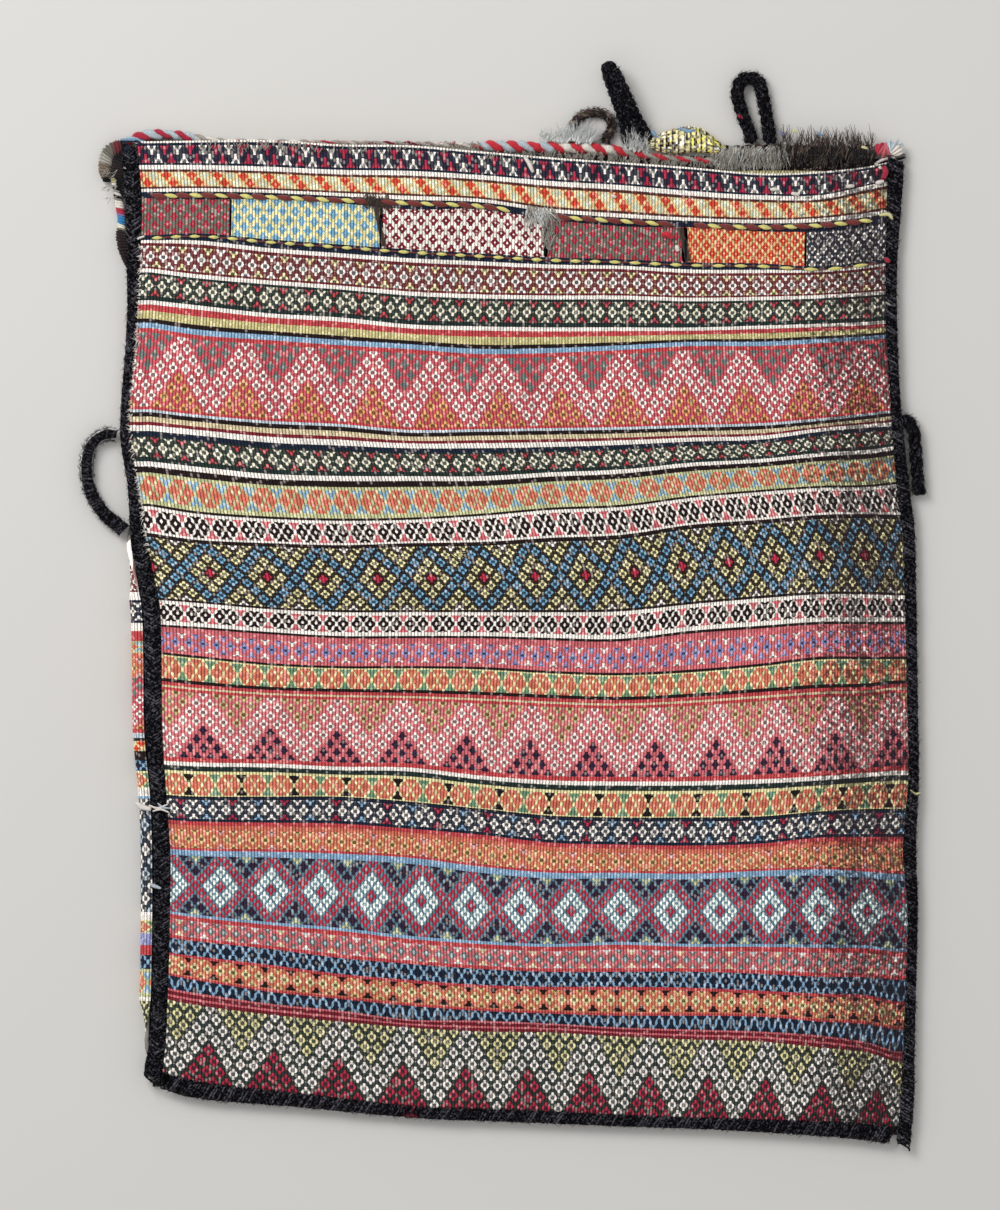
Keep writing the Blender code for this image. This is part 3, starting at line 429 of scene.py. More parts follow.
# Each figure: its lattice rows in its strip and those that are drawn, the warp where it begins, the dyes of
# its ground and of the lozenges' eyes, how far a lozenge reaches into its cell, and its lozenges' dyes
FIGURES = {
    "paired lozenges": Figure(
        (-0.16, 1.13), (0.0, 1.0), 1.0, "navy", "navy", 0.63,
        pairs(("ivory", "deep_madder"), ("deep_madder",))),
    "gold pairs": Figure(
        (-0.45, 1.5), (-0.45, 1.5), 2.0, "gold", "gold", 0.74,
        pairs(("red_orange", "pale_green"), ("red_orange", "pale_green"))),
    "red brown chain": Figure(
        (-0.35, 2.26), (-0.05, 2.05), 1.25, "red_brown", "navy", 0.66,
        chain(("pale_yellow", "ivory"), "ivory")),
    "green navy chain": Figure(
        (-0.26, 2.46), (0.0, 2.0), 1.25, "green_navy", "navy", 0.66, chain(("red", "cream"), "cream")),
    "upper zigzag": Figure(
        (-0.15, 7.15), (-0.15, 7.15), 3.5, "rose", "eye_red", 0.64,
        zigzag("grey_green", "ochre", ("grey_green",))),
    "cream chain": Figure(
        (-0.12, 2.43), (0.05, 1.95), 1.75, "green_navy", "navy", 0.66, chain(("red", "cream"), "cream")),
    "leaf chain": Figure(
        (-0.35, 2.45), (-0.05, 2.05), 0.0, "leaf", "leaf", 0.8,
        chain(("light_blue", "orange"), "orange", ("orange",))),
    "upper white chain": Figure(
        (-0.19, 2.2), (0.08, 2.02), 0.75, "ivory", "ivory", 0.8,
        chain(("pink", "brown"), "brown", ("pink",)), 0.2),
    "upper diamonds": Figure(
        (-0.05, 8.05), (-0.1, 8.1), 0.0, "brown", "navy", 0.64,
        diamonds(("madder", "pale_yellow", "teal", "pale_yellow", "ivory"), ("madder",))),
    "lower white chain": Figure(
        (-0.31, 2.36), (0.05, 1.95), 1.75, "ivory", "ivory", 0.8,
        chain(("pink", "brown"), "brown", ("pink",)), 0.2),
    "pink chain": Figure(
        (-0.65, 2.42), (0.0, 2.0), 1.5, "pink", "navy", 0.63, chain(("ivory", "violet"), "violet"), 0.18),
    "yellow chain": Figure(
        (-0.12, 1.9), (0.0, 1.9), 1.5, "pale_yellow", "pale_yellow", 0.84,
        chain(("green", "orange"), "orange", ("orange", "green"))),
    "middle zigzag": Figure(
        (-0.15, 7.15), (-0.15, 7.15), 3.0, "pink", "eye_red", 0.63,
        zigzag("olive", "purple_navy", ("purple_navy",))),
    "second yellow chain": Figure(
        (-0.33, 2.14), (-0.05, 2.05), 1.75, "pale_yellow", "pale_yellow", 0.84,
        chain(("brown", "orange", "green", "orange"), "orange", ("orange", "green", "brown"))),
    "navy chain": Figure(
        (-0.3, 2.3), (0.0, 2.0), 1.0, "navy", "navy", 0.66,
        chain(("madder", "ivory", "light_blue", "ivory"), "ivory")),
    "gold chain": Figure(
        (-0.55, 2.0), (0.0, 2.0), 0.0, "orange", "umber", 0.64,
        chain(("pale_pink", "gold", "gold", "gold"), "gold")),
    "lower diamonds": Figure(
        (-0.05, 8.05), (-0.1, 8.1), 0.0, "teal_grey", "teal_grey", 0.76,
        diamonds(("madder", "white", "madder", "purple_navy", "leaf"), ("purple_navy",))),
    "grey chain": Figure(
        (-0.1, 2.1), (0.0, 2.0), 0.75, "pink", "pale_blue", 0.66,
        chain(("pale_yellow", "grey_green", "ivory", "grey_green"), "grey_green")),
    "blue lattice": Figure(
        (-0.8, 0.8), (-0.8, 0.8), 0.5, "light_blue", "navy", 0.78, pairs(("navy",), ("navy",))),
    "red gold chain": Figure(
        (0.0, 2.26), (0.0, 2.1), 1.5, "orange", "umber", 0.68,
        chain(("brown", "gold"), "pale_yellow", ("brown",))),
    "blue zigzag": Figure(
        (0.05, 0.95), (0.05, 0.95), 0.5, "light_blue", "navy", 0.78, pairs(("navy",), ("navy",))),
    "bottom zigzag": Figure(
        (-0.15, 7.3), (-0.15, 7.3), 3.25, "green_navy", "navy", 0.7, zigzag("pale_yellow", "madder")),
    "navy lozenges": Figure(
        (-0.1, 9.1), (-0.1, 9.1), 0.25, "navy", "navy", 0.66, pairs(("ivory", "pale_blue"))),
}
SLIT_BLOCKS = tuple(
    Figure((-0.2, 4.2), (-0.2, 4.2), 0.5, ground, eye, outer, pairs((lozenge,)), eye_size)
    for ground, eye, outer, lozenge, eye_size in (
        ("grey_olive", "grey_olive", 0.6, "madder", 0.1),
        ("pale_yellow", "light_blue", 0.66, "teal", 0.1),
        ("ivory", "ivory", 0.68, "crimson", 0.12),
        ("grey_olive", "grey_olive", 0.6, "madder", 0.1),
        ("gold", "gold", 0.74, "red_orange", 0.12),
        ("navy", "navy", 0.6, "ivory", 0.3),
    ))


def linear(hex_colour):
    """A linear colour from an sRGB hex value."""
    channels = [int(hex_colour[n:n + 2], 16) / 255 for n in (1, 3, 5)]
    return tuple(c / 12.92 if c <= 0.04045 else ((c + 0.055) / 1.055) ** 2.4 for c in channels)


def dye(hex_colour, description):
    """A colour that a user can change."""
    return bpy.props.FloatVectorProperty(description=description, subtype="COLOR", size=3, min=0.0, max=1.0,
                                         default=linear(hex_colour))


def length(metres, description):
    """A size that a user can change."""
    return bpy.props.FloatProperty(description=description, default=metres, min=0.0, subtype="DISTANCE",
                                   unit="LENGTH", precision=4)


class BagDyes(bpy.types.PropertyGroup):
    """Colours of the bag's yarns."""

    ivory: dye("#EDE6DD", "Undyed wool of the raised lines")
    white: dye("#E6F0EC", "Cotton of the lower diamonds")
    cream: dye("#E2DDC4", "Yellowed wool of the small lozenges")
    beige: dye("#CDBE9A", "Plain stripes beside the zigzags")
    pale_yellow: dye("#E0D7A0", "Weld yellow on ivory")
    olive: dye("#C2B882", "Yellow gone green")
    gold: dye("#DCBD84", "Field of the gold bands")
    ochre: dye("#D2A464", "Lower triangles of the upper zigzag")
    leaf: dye("#BEBE90", "Field of the leaf green band")
    pale_green: dye("#D0D2B8", "Pairs on gold")
    green: dye("#6E8F72", "Chevrons on yellow")
    grey_green: dye("#6B7470", "Upper triangles of the upper zigzag")
    green_navy: dye("#24312F", "Field of the darkest bands")
    navy: dye("#1C2536", "Indigo at its darkest")
    purple_navy: dye("#332438", "Indigo over red")
    brown: dye("#241819", "Undyed dark wool")
    umber: dye("#55302A", "Lines beside the gold band")
    red_brown: dye("#6C2A30", "Field of the chain under the slits")
    crimson: dye("#7A2430", "Darkest red")
    madder: dye("#B23045", "Plain madder red")
    red: dye("#BE484C", "Field of the zigzags")
    rose: dye("#BC4E58", "Field of the upper zigzag")
    eye_red: dye("#6B2A30", "Eyes of the white lozenges")
    pink: dye("#CB6A70", "Faded madder")
    pale_pink: dye("#E0B4B0", "Madder on ivory")
    orange: dye("#CC705A", "Madder over yellow")
    red_orange: dye("#CC4A36", "Strong orange")
    light_blue: dye("#86A8C4", "Thin indigo")
    pale_blue: dye("#B9C6CE", "Indigo on ivory")
    teal: dye("#72A4C0", "Indigo over yellow")
    teal_grey: dye("#5F7E8C", "Field of the lower diamonds")
    violet: dye("#8C90BE", "Indigo over pink")
    deep_madder: dye("#A63046", "Pairs along the mouth")
    grey_olive: dye("#6E6A60", "Net of the two dull slit blocks")
    goat_hair: dye("#0A0A0F", "Bindings and loops")
    # Painted highlight: the pale grey that the goat hair material mixes into its brighter strands and flecks
    worn_hair: dye("#85828C", "Goat hair where it catches the light")
    brown_hair: dye("#4C3A32", "Cords and fringe of brown hair")
    grey_wool: dye("#A9A49B", "Undyed wool along the rim and frayed ends")
    worn_brown: dye("#7C6C5E", "The paler ply of the small loop")
    frayed: dye("#DCDEDC", "Tufts of combed wool at the rim")
    stitch_yellow: dye("#E6DE86", "Running stitches and the thin ply of the slit cords")
    stitch_red: dye("#7E3A36", "The thick ply of the slit cords")
    bulge_yellow: dye("#E4DC5C", "Brightest yarn of the band over the rim")
    rim_red: dye("#CE3440", "Wool twined over the rim")
    bright_blue: dye("#3A88BC", "Indigo at the edge beside the left corner")
    floor: dye("#DCDAD6", "Plain pale floor")


class BagSizes(bpy.types.PropertyGroup):
    """Sizes of the bag's yarns and stitches."""

    rib_relief: length(0.00032, "Height of a warp rib over the hollow beside it, halved")
    line_relief: length(0.0003, "Height of a twined line over its band")
    cloth_swell: length(0.0007, "Height of the cloth's soft unevenness")


def place_x(px):
    """X of a place across the photograph."""
    return ((px - PHOTO_LEFT) / (PHOTO_RIGHT - PHOTO_LEFT) - 0.5) * CLOTH_WIDTH


def place_y(py):
    """Y of a place down the photograph."""
    return (0.5 - (py - PHOTO_TOP) / (PHOTO_BOTTOM - PHOTO_TOP)) * CLOTH_HEIGHT


def pixel_x(x):
    """Place across the photograph of an X."""
    return PHOTO_LEFT + (x / CLOTH_WIDTH + 0.5) * (PHOTO_RIGHT - PHOTO_LEFT)


def smooth_value(stops, place):
    """The value at a place, on a smooth line through (place, value) pairs, level past both ends."""
    if place <= stops[0][0]:
        return stops[0][1]
    if place >= stops[-1][0]:
        return stops[-1][1]
    n = 0
    while stops[n + 1][0] <= place:
        n += 1
    start, low = stops[n]
    end, high = stops[n + 1]
    before = stops[n - 1] if n else stops[n]
    after = stops[n + 2] if n + 2 < len(stops) else stops[n + 1]
    slope_in = (high - before[1]) / (end - before[0])
    slope_out = (after[1] - low) / (after[0] - start)
    span = end - start
    t = (place - start) / span
    return (
        low * (2 * t**3 - 3 * t**2 + 1)
        + slope_in * span * (t**3 - 2 * t**2 + t)
        + high * (3 * t**2 - 2 * t**3)
        + slope_out * span * (t**3 - t**2)
    )


def straight_value(stops, place):
    """The value at a place, on straight runs through (place, value) pairs."""
    for (start, low), (end, high) in zip(stops, stops[1:]):
        if place <= end:
            share = max(0.0, (place - start) / (end - start))
            return low + (high - low) * share
    return stops[-1][1]


LINE_PAIRS = {name: tuple(zip(STATIONS, heights)) for name, heights in LINES.items()}
SEAMS = (LEFT_SEAM, RIGHT_SEAM, BOTTOM_SEAM)
SEAM_CENTRES = {seam: [(place, centre) for place, centre, share in seam] for seam in SEAMS}
SEAM_SHARES = {seam: [(place, share) for place, centre, share in seam] for seam in SEAMS}


def seam_centre(seam, place):
    """A seam's binding centre, in photograph pixels."""
    return smooth_value(SEAM_CENTRES[seam], place)


def seam_half_width(seam, place):
    """Half the width of a seam's binding, in metres."""
    return smooth_value(SEAM_SHARES[seam], place) * BINDING_WIDTH / 2


def left_roll(py):
    """How far the back panel is rolled up at the left, in radians."""
    return math.radians(straight_value(LEFT_ROLL, py))


def roll_end(py):
    """Where the back panel's rolled edge ends, from the left binding's centre: out to its side, and up."""
    angle = left_roll(py)
    half_width = seam_half_width(LEFT_SEAM, py)
    half_height = half_width * BINDING_HEIGHT / BINDING_WIDTH
    side = math.radians(270) - min(angle, math.pi / 2)
    normal = Vector((math.cos(side) / half_width, math.sin(side) / half_height)).normalized()
    past = max(0.0, angle - math.pi / 2) / (math.pi / 2)
    clearance = SEAT + CLOTH_THICKNESS / 2 * (1 - past)
    return Vector((half_width * math.cos(side), half_height * math.sin(side))) + normal * clearance


def left_seam_height(py):
    """Height of the left binding's centre: on the back panel, or on its roll."""
    return BACK_MIDDLE + ROLL_RADIUS * (1 - math.cos(left_roll(py))) - roll_end(py).y


def bottom_edge(px):
    """Y of the front panel's bottom edge."""
    return place_y(seam_centre(BOTTOM_SEAM, px)) + seam_half_width(BOTTOM_SEAM, px) + SEAT


def soft_least(*shares):
    """The least of some shares, rounded off where two of them are close."""
    if min(shares) <= 0:
        return 0.0
    return sum(share**-SLOPE_SHARPNESS for share in shares) ** (-1 / SLOPE_SHARPNESS)


def front_height(px, py):
    """Height of the front panel's middle layer, which slopes up from its seams to an almost flat middle."""
    across = min(max((px - PHOTO_LEFT) / (PHOTO_RIGHT - PHOTO_LEFT), 0.0), 1.0)
    down = min(max((py - PHOTO_TOP) / (PHOTO_BOTTOM - PHOTO_TOP), 0.0), 1.0)
    left = left_seam_height(py)
    sides = left + (SEAM_HEIGHT - left) * across
    base = sides + (SEAM_HEIGHT - sides) * down**6
    from_side = min(across, 1 - across) * CLOTH_WIDTH
    from_bottom = place_y(py) - bottom_edge(px)
    swell = soft_least(1.0, from_side / SIDE_SLOPE, from_bottom / BOTTOM_SLOPE)
    mouth = 1 - (1 - MOUTH_SHARE) * max(0.0, 1 - 4 * down) ** 2
    ripple = RIPPLE * math.sin(11.0 * across + 4.0 * down + 0.7)
    return base + swell * (PANEL_RISE * mouth + ripple)


def cloth_unevenness(x, y, height):
    """Soft hollows and swellings of old cloth, none at its seams."""
    across = min(max(x / CLOTH_WIDTH + 0.5, 0.0), 1.0)
    down = min(max(0.5 - y / CLOTH_HEIGHT, 0.0), 1.0)
    inside = min(1.0, 12 * across * (1 - across)) * min(1.0, 10 * (1 - down) + 0.1)
    broad = noise.noise(Vector((x / 0.09, y / 0.07, 3.1)))
    small = noise.noise(Vector((x / 0.03, y / 0.022, 7.7)))
    return height * inside * (broad + 0.5 * small)


# A row of the cloth: the lines above and below it, the share of the way between them, the picks woven so
# far, and whether it is a raised line. A course is what is woven between two rows.
Row = namedtuple("Row", "above below share picks raised")
Course = namedtuple("Course", "figure first last dye blocks")


def figure_breaks(figure):
    """Places down a figure's strip where its lattice rows and its clipped edges lie."""
    first, last = figure.rows
    inner = [float(n) for n in range(math.ceil(first), math.floor(last) + 1)] + list(figure.clip)
    return sorted({first, last} | {round(b, 4) for b in inner if first + 0.02 < b < last - 0.02})


def woven_courses(strips, above, below, picks, raised):
    """The rows and courses of the strips woven between two lines, with the picks woven when they end."""
    rows = []
    courses = []
    total = sum(height for height, what in strips)
    done = 0.0
    for height, what in strips:
        if what == "slit blocks" or what in FIGURES:
            figure = SLIT_BLOCKS[0] if what == "slit blocks" else FIGURES[what]
            breaks = figure_breaks(figure)
        else:
            figure = None
            breaks = [0.0, 1.0]
        for first, last in zip(breaks, breaks[1:]):
            share = (first - breaks[0]) / (breaks[-1] - breaks[0])
            at = (done + height * share) / total
            rows.append(Row(above, below, at, picks + (done + height * share) / PICK, raised and at == 0.0))
            courses.append(Course(figure, first, last, None if figure else what, what == "slit blocks"))
        done += height
    return rows, courses, picks + total / PICK


def front_courses():
    """All rows and courses of the front panel, from its mouth down."""
    names = list(LINES)
    rows = []
    courses = []
    picks = 0.0
    for above, below in zip(names, names[1:]):
        strips = FRONT_BANDS[above]
        new_rows, new_courses, picks = woven_courses(strips, above, below, picks, above not in FLAT_LINES)
        rows += new_rows
        courses += new_courses
    rows.append(Row(names[-2], names[-1], 1.0, picks, False))
    return rows, courses


def row_py(row, px):
    """Where a row of the front panel runs down the photograph, at a place across it."""
    above = smooth_value(LINE_PAIRS[row.above], px)
    below = smooth_value(LINE_PAIRS[row.below], px)
    return above + (below - above) * row.share


def warp_px(s, py):
    """Where a warp lies across the photograph, at a place down it. Warps past a seam crowd under it."""
    left, right = (straight_value(SEAM_CENTRES[seam], py) + cover * straight_value(SEAM_SHARES[seam], py)
                   for seam, cover in ((LEFT_SEAM, SEAM_COVER), (RIGHT_SEAM, -SEAM_COVER)))
    count = straight_value(LOZENGE_COUNT, py)
    f = s / count
    if 0 < f < 1:
        f += straight_value(WARP_SHIFT, py) * 4 * f * (1 - f)
        return left + (right - left) * f
    spare = s if f <= 0 else s - count
    edge = left if f <= 0 else right
    squeeze = 1.0 if f <= 0 else HIDDEN_SQUEEZE
    return edge + spare * squeeze * (right - left) / count


def dipped(px, py, height):
    """A height on the front panel, brought down where the panel runs in under a binding."""
    seams = ((LEFT_SEAM, py, px, 1, left_seam_height(py)), (RIGHT_SEAM, py, px, -1, SEAM_HEIGHT),
             (BOTTOM_SEAM, px, py, -1, SEAM_HEIGHT))
    for seam, along, across, side, seam_height in seams:
        past = side * (across - seam_centre(seam, along)) * PIXEL - seam_half_width(seam, along)
        height = min(height, seam_height + DIP_SLOPE * past)
    return height


def cell_colours(figure, a, b, dyes):
    """Dyes of the lozenges above and below in one cell of a figure's lattice, with its ground and eyes."""
    upper_at = a if (a + b) % 2 == 0 else a + 1
    lower_at = a + 1 if upper_at == a else a
    upper, upper_solid = figure.dye(upper_at, b)
    lower, lower_solid = figure.dye(lower_at, b + 1)
    return (
        (*dyes[upper], 1.0 if upper_solid else 0.0),
        (*dyes[lower], 1.0 if lower_solid else 0.0),
        (*dyes[figure.ground], figure.outer),
        (*dyes[figure.eye], figure.eye_size),
        upper_at == a,
    )


class Weave:
    """Faces of a cloth with what the weave material reads on them."""

    def __init__(self, dyes):
        self.dyes = dyes
        self.points = []
        self.faces = []
        self.yarns = {label: [] for label in YARNS}
        self.weave_uv = []
        self.thread_uv = []
        self.cells = {}

    def point(self, place):
        """Adds a point and gives its number."""
        self.points.append(place)
        return len(self.points) - 1

    def face(self, corners, colours, weave_uv, thread_uv):
        """Adds a face with its yarns."""
        self.faces.append(corners)
        for label, colour in zip(YARNS, colours):
            self.yarns[label].append(colour)
        self.weave_uv += weave_uv
        self.thread_uv += thread_uv

    def plain(self, name):
        """The yarns of a face in one dye."""
        colour = (*self.dyes[name], 1.0)
        return colour, colour, (*self.dyes[name], 0.6), colour

    def course_face(self, corners, course, s_left, s_right, picks, blocks_at):
        """Adds one face of a course, between two warps."""
        thread_uv = [(s_left * RIBS_TO_LOZENGE, picks[0]), (s_left * RIBS_TO_LOZENGE, picks[1]),
                     (s_right * RIBS_TO_LOZENGE, picks[1]), (s_right * RIBS_TO_LOZENGE, picks[0])]
        figure = course.figure
        if course.blocks:
            figure = SLIT_BLOCKS[blocks_at]
        if figure is None:
            self.face(corners, self.plain(course.dye), [(0.0, 0.0)] * 4, thread_uv)
            return
        middle = (course.first + course.last) / 2
        if not figure.clip[0] <= middle <= figure.clip[1]:
            self.face(corners, self.plain(figure.ground), [(0.0, 0.0)] * 4, thread_uv)
            return
        a = math.floor(2 * ((s_left + s_right) / 2 - figure.origin))
        b = math.floor(middle)
        key = (id(figure), a, b)
        if key not in self.cells:
            self.cells[key] = cell_colours(figure, a, b, self.dyes)
        upper, lower, ground, eye, upper_at_left = self.cells[key]
        left = 2 * (s_left - figure.origin) - a
        right = 2 * (s_right - figure.origin) - a
        if not upper_at_left:
            left = 1 - left
            right = 1 - right
        top = course.first - b
        bottom = course.last - b
        weave_uv = [(left, top), (left, bottom), (right, bottom), (right, top)]
        self.face(corners, (upper, lower, ground, eye), weave_uv, thread_uv)

    def object(self, name, material):
        """The cloth as a new object, with its faces turned outwards."""
        mesh = bpy.data.meshes.new(name)
        mesh.from_pydata(self.points, [], self.faces)
        for label in YARNS:
            layer = mesh.attributes.new(label, "FLOAT_COLOR", "FACE")
            layer.data.foreach_set("color", [c for colour in self.yarns[label] for c in colour])
        for label, values in (("weave", self.weave_uv), ("threads", self.thread_uv)):
            layer = mesh.uv_layers.new(name=label)
            layer.uv.foreach_set("vector", [c for pair in values for c in pair])
        mesh.materials.append(material)
        return link(name, turned_out(mesh))


def turned_out(mesh):
    """A mesh with its faces turned outwards and shaded smooth."""
    body = bmesh.new()
    body.from_mesh(mesh)
    bmesh.ops.recalc_face_normals(body, faces=body.faces)
    body.to_mesh(mesh)
    body.free()
    mesh.polygons.foreach_set("use_smooth", [True] * len(mesh.polygons))
    return mesh


def link(name, data):
    """A new object in the scene."""
    item = bpy.data.objects.new(name, data)
    bpy.context.scene.collection.objects.link(item)
    return item


def settle(piece, slot, *nodes):
    """Hangs a piece on the root body and hides the solids whose place it takes; its slot is not used."""
    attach(piece, "root")
    if nodes:
        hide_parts(*nodes)
    return piece


def zip_chains(first, second):
    """Corners of the faces between two chains of (key, point), which may have unlike keys."""
    a = b = 0
    while a < len(first) - 1 or b < len(second) - 1:
        next_a = first[a + 1][0] if a < len(first) - 1 else math.inf
        next_b = second[b + 1][0] if b < len(second) - 1 else math.inf
        if next_a == next_b:
            yield (first[a][1], second[b][1], second[b + 1][1], first[a + 1][1]), first[a][0]
            a, b = a + 1, b + 1
        elif next_a < next_b:
            yield (first[a][1], second[b][1], first[a + 1][1]), first[a][0]
            a += 1
        else:
            yield (first[a][1], second[b][1], second[b + 1][1]), second[b][0]
            b += 1


def weave_sheet(weave, rows, courses, columns, surface, slits=()):
    """Weaves a closed sheet: a fine outer side, a coarse inner side and its edges.

    surface gives a point from the numbers of a row and a column, and 1 for the outer side or -1 for the inner
    one. slits holds, for each slit, the column at its left edge and its first and last row.
    """
    slit_columns = {k for k, first, last in slits} | {k + 1 for k, first, last in slits}
    slit_rows = {n for k, first, last in slits for n in range(first, last + 1)}
    last_row = len(rows) - 1
    last_column = len(columns) - 1
    coarse_columns = sorted({*range(0, len(columns), COLUMNS_TO_LOZENGE), *slit_columns, last_column})
    coarse_rows = sorted({*range(0, len(rows), ROWS_TO_COARSE_ROW), *slit_rows, last_row})
    fine = [[weave.point(surface(n, k, 1)) for k in range(len(columns))] for n in range(len(rows))]
    coarse = {n: {k: weave.point(surface(n, k, -1)) for k in coarse_columns} for n in coarse_rows}

    def in_slit(k, n):
        return any(k == column and first <= n < last for column, first, last in slits)

    def block_at(k):
        return sum(k > column for column, first, last in slits)

    for n, course in enumerate(courses):
        picks = (rows[n].picks, rows[n + 1].picks)
        for k in range(last_column):
            if in_slit(k, n):
                continue
            corners = (fine[n][k], fine[n + 1][k], fine[n + 1][k + 1], fine[n][k + 1])
            weave.course_face(corners, course, columns[k], columns[k + 1], picks, block_at(k))

    def plain_dye(n):
        course = courses[min(n, len(courses) - 1)]
        return course.figure.ground if course.figure else course.dye

    def plain_face(corners, n):
        nowhere = [(0.0, 0.0)] * len(corners)
        weave.face(corners, weave.plain(plain_dye(n)), nowhere, nowhere)

    for top, bottom in zip(coarse_rows, coarse_rows[1:]):
        for left, right in zip(coarse_columns, coarse_columns[1:]):
            if in_slit(left, top):
                continue
            thread_uv = [(columns[k] * RIBS_TO_LOZENGE, rows[n].picks)
                         for n, k in ((top, left), (top, right), (bottom, right), (bottom, left))]
            corners = (coarse[top][left], coarse[top][right], coarse[bottom][right], coarse[bottom][left])
            weave.face(corners, weave.plain(plain_dye(top)), [(0.0, 0.0)] * 4, thread_uv)

    for n in (0, last_row):
        chains = ([(k, fine[n][k]) for k in range(len(columns))], [(k, coarse[n][k]) for k in coarse_columns])
        for corners, key in zip_chains(*chains):
            plain_face(corners, n)
    for k in (0, last_column):
        chains = ([(n, fine[n][k]) for n in range(len(rows))], [(n, coarse[n][k]) for n in coarse_rows])
        for corners, key in zip_chains(*chains):
            plain_face(corners, key)
    for column, first, last in slits:
        for k in (column, column + 1):
            for n in range(first, last):
                plain_face((fine[n][k], coarse[n][k], coarse[n + 1][k], fine[n + 1][k]), n)
        for n in (first, last):
            plain_face((fine[n][column], fine[n][column + 1], coarse[n][column + 1], coarse[n][column]), n)


def cloth_columns():
    """The warps at the cloth's columns, in lozenges."""
    count = round((max(count for place, count in LOZENGE_COUNT) + 2 * HIDDEN_WARPS) * COLUMNS_TO_LOZENGE)
    first = -round(HIDDEN_WARPS * COLUMNS_TO_LOZENGE)
    return [(first + k) / COLUMNS_TO_LOZENGE for k in range(count)]


def rib_lift(s, relief):
    """Height of the cloth's face over its mean at a warp: up on a rib and down between two."""
    ridge = round(s * COLUMNS_TO_LOZENGE) % 2 == 0
    return relief if ridge else -relief


def slit_pull(k, n, slits, pulls):
    """How far a slit pulls a point aside, in metres, and how far along the slit the point is."""
    for (column, first, last), width in zip(slits, pulls):
        if first < n < last:
            along = math.sin(math.pi * (n - first) / (last - first)) ** 0.7
            away = column - k if k <= column else k - column - 1
            side = -1 if k <= column else 1
            if away < SLIT_REACH:
                pull = side * width / 2 * along * math.exp(-away / PULL_FADE)
                return pull, along * math.exp(-away / LIFT_FADE)
    return 0.0, 0.0


def woven_panel(node, dyes, rows, courses, columns, surface, slits=()):
    """A panel of the bag, woven on a surface."""
    weave = Weave(dyes)
    weave_sheet(weave, rows, courses, columns, surface, slits)
    panel = weave.object(node + "_weave", shared(bpy.data.materials, warp_faced_wool))
    return settle(panel, "patterned_wool", node)


def add(tree, kind, *values, **settings):
    """Adds a node with its settings and gives its first working output.

    Its inputs are set or linked in their order, or from a dict by name or number.
    """
    node = tree.nodes.new(kind)
    for key, value in settings.items():
        setattr(node, key, value)
    inputs = values[0] if values and isinstance(values[0], dict) else dict(enumerate(values))
    for key, value in inputs.items():
        named = [s for s in node.inputs if s.enabled and s.name == key]
        socket = node.inputs[key] if isinstance(key, int) else named[0]
        if isinstance(value, bpy.types.NodeSocket):
            tree.links.new(value, socket)
        else:
            socket.default_value = value
    return next((s for s in node.outputs if s.enabled), None)


def new_material(name, roughness, sheen):
    """A material with a dull surface, its tree and its shader."""
    material = bpy.data.materials.new(name)
    material.use_nodes = True
    tree = material.node_tree
    shader = tree.nodes["Principled BSDF"]
    shader.inputs["Roughness"].default_value = roughness
    shader.inputs["Sheen Weight"].default_value = sheen
    shader.inputs["Sheen Roughness"].default_value = 0.5
    shader.inputs["Specular IOR Level"].default_value = 0.12
    return material, tree, shader


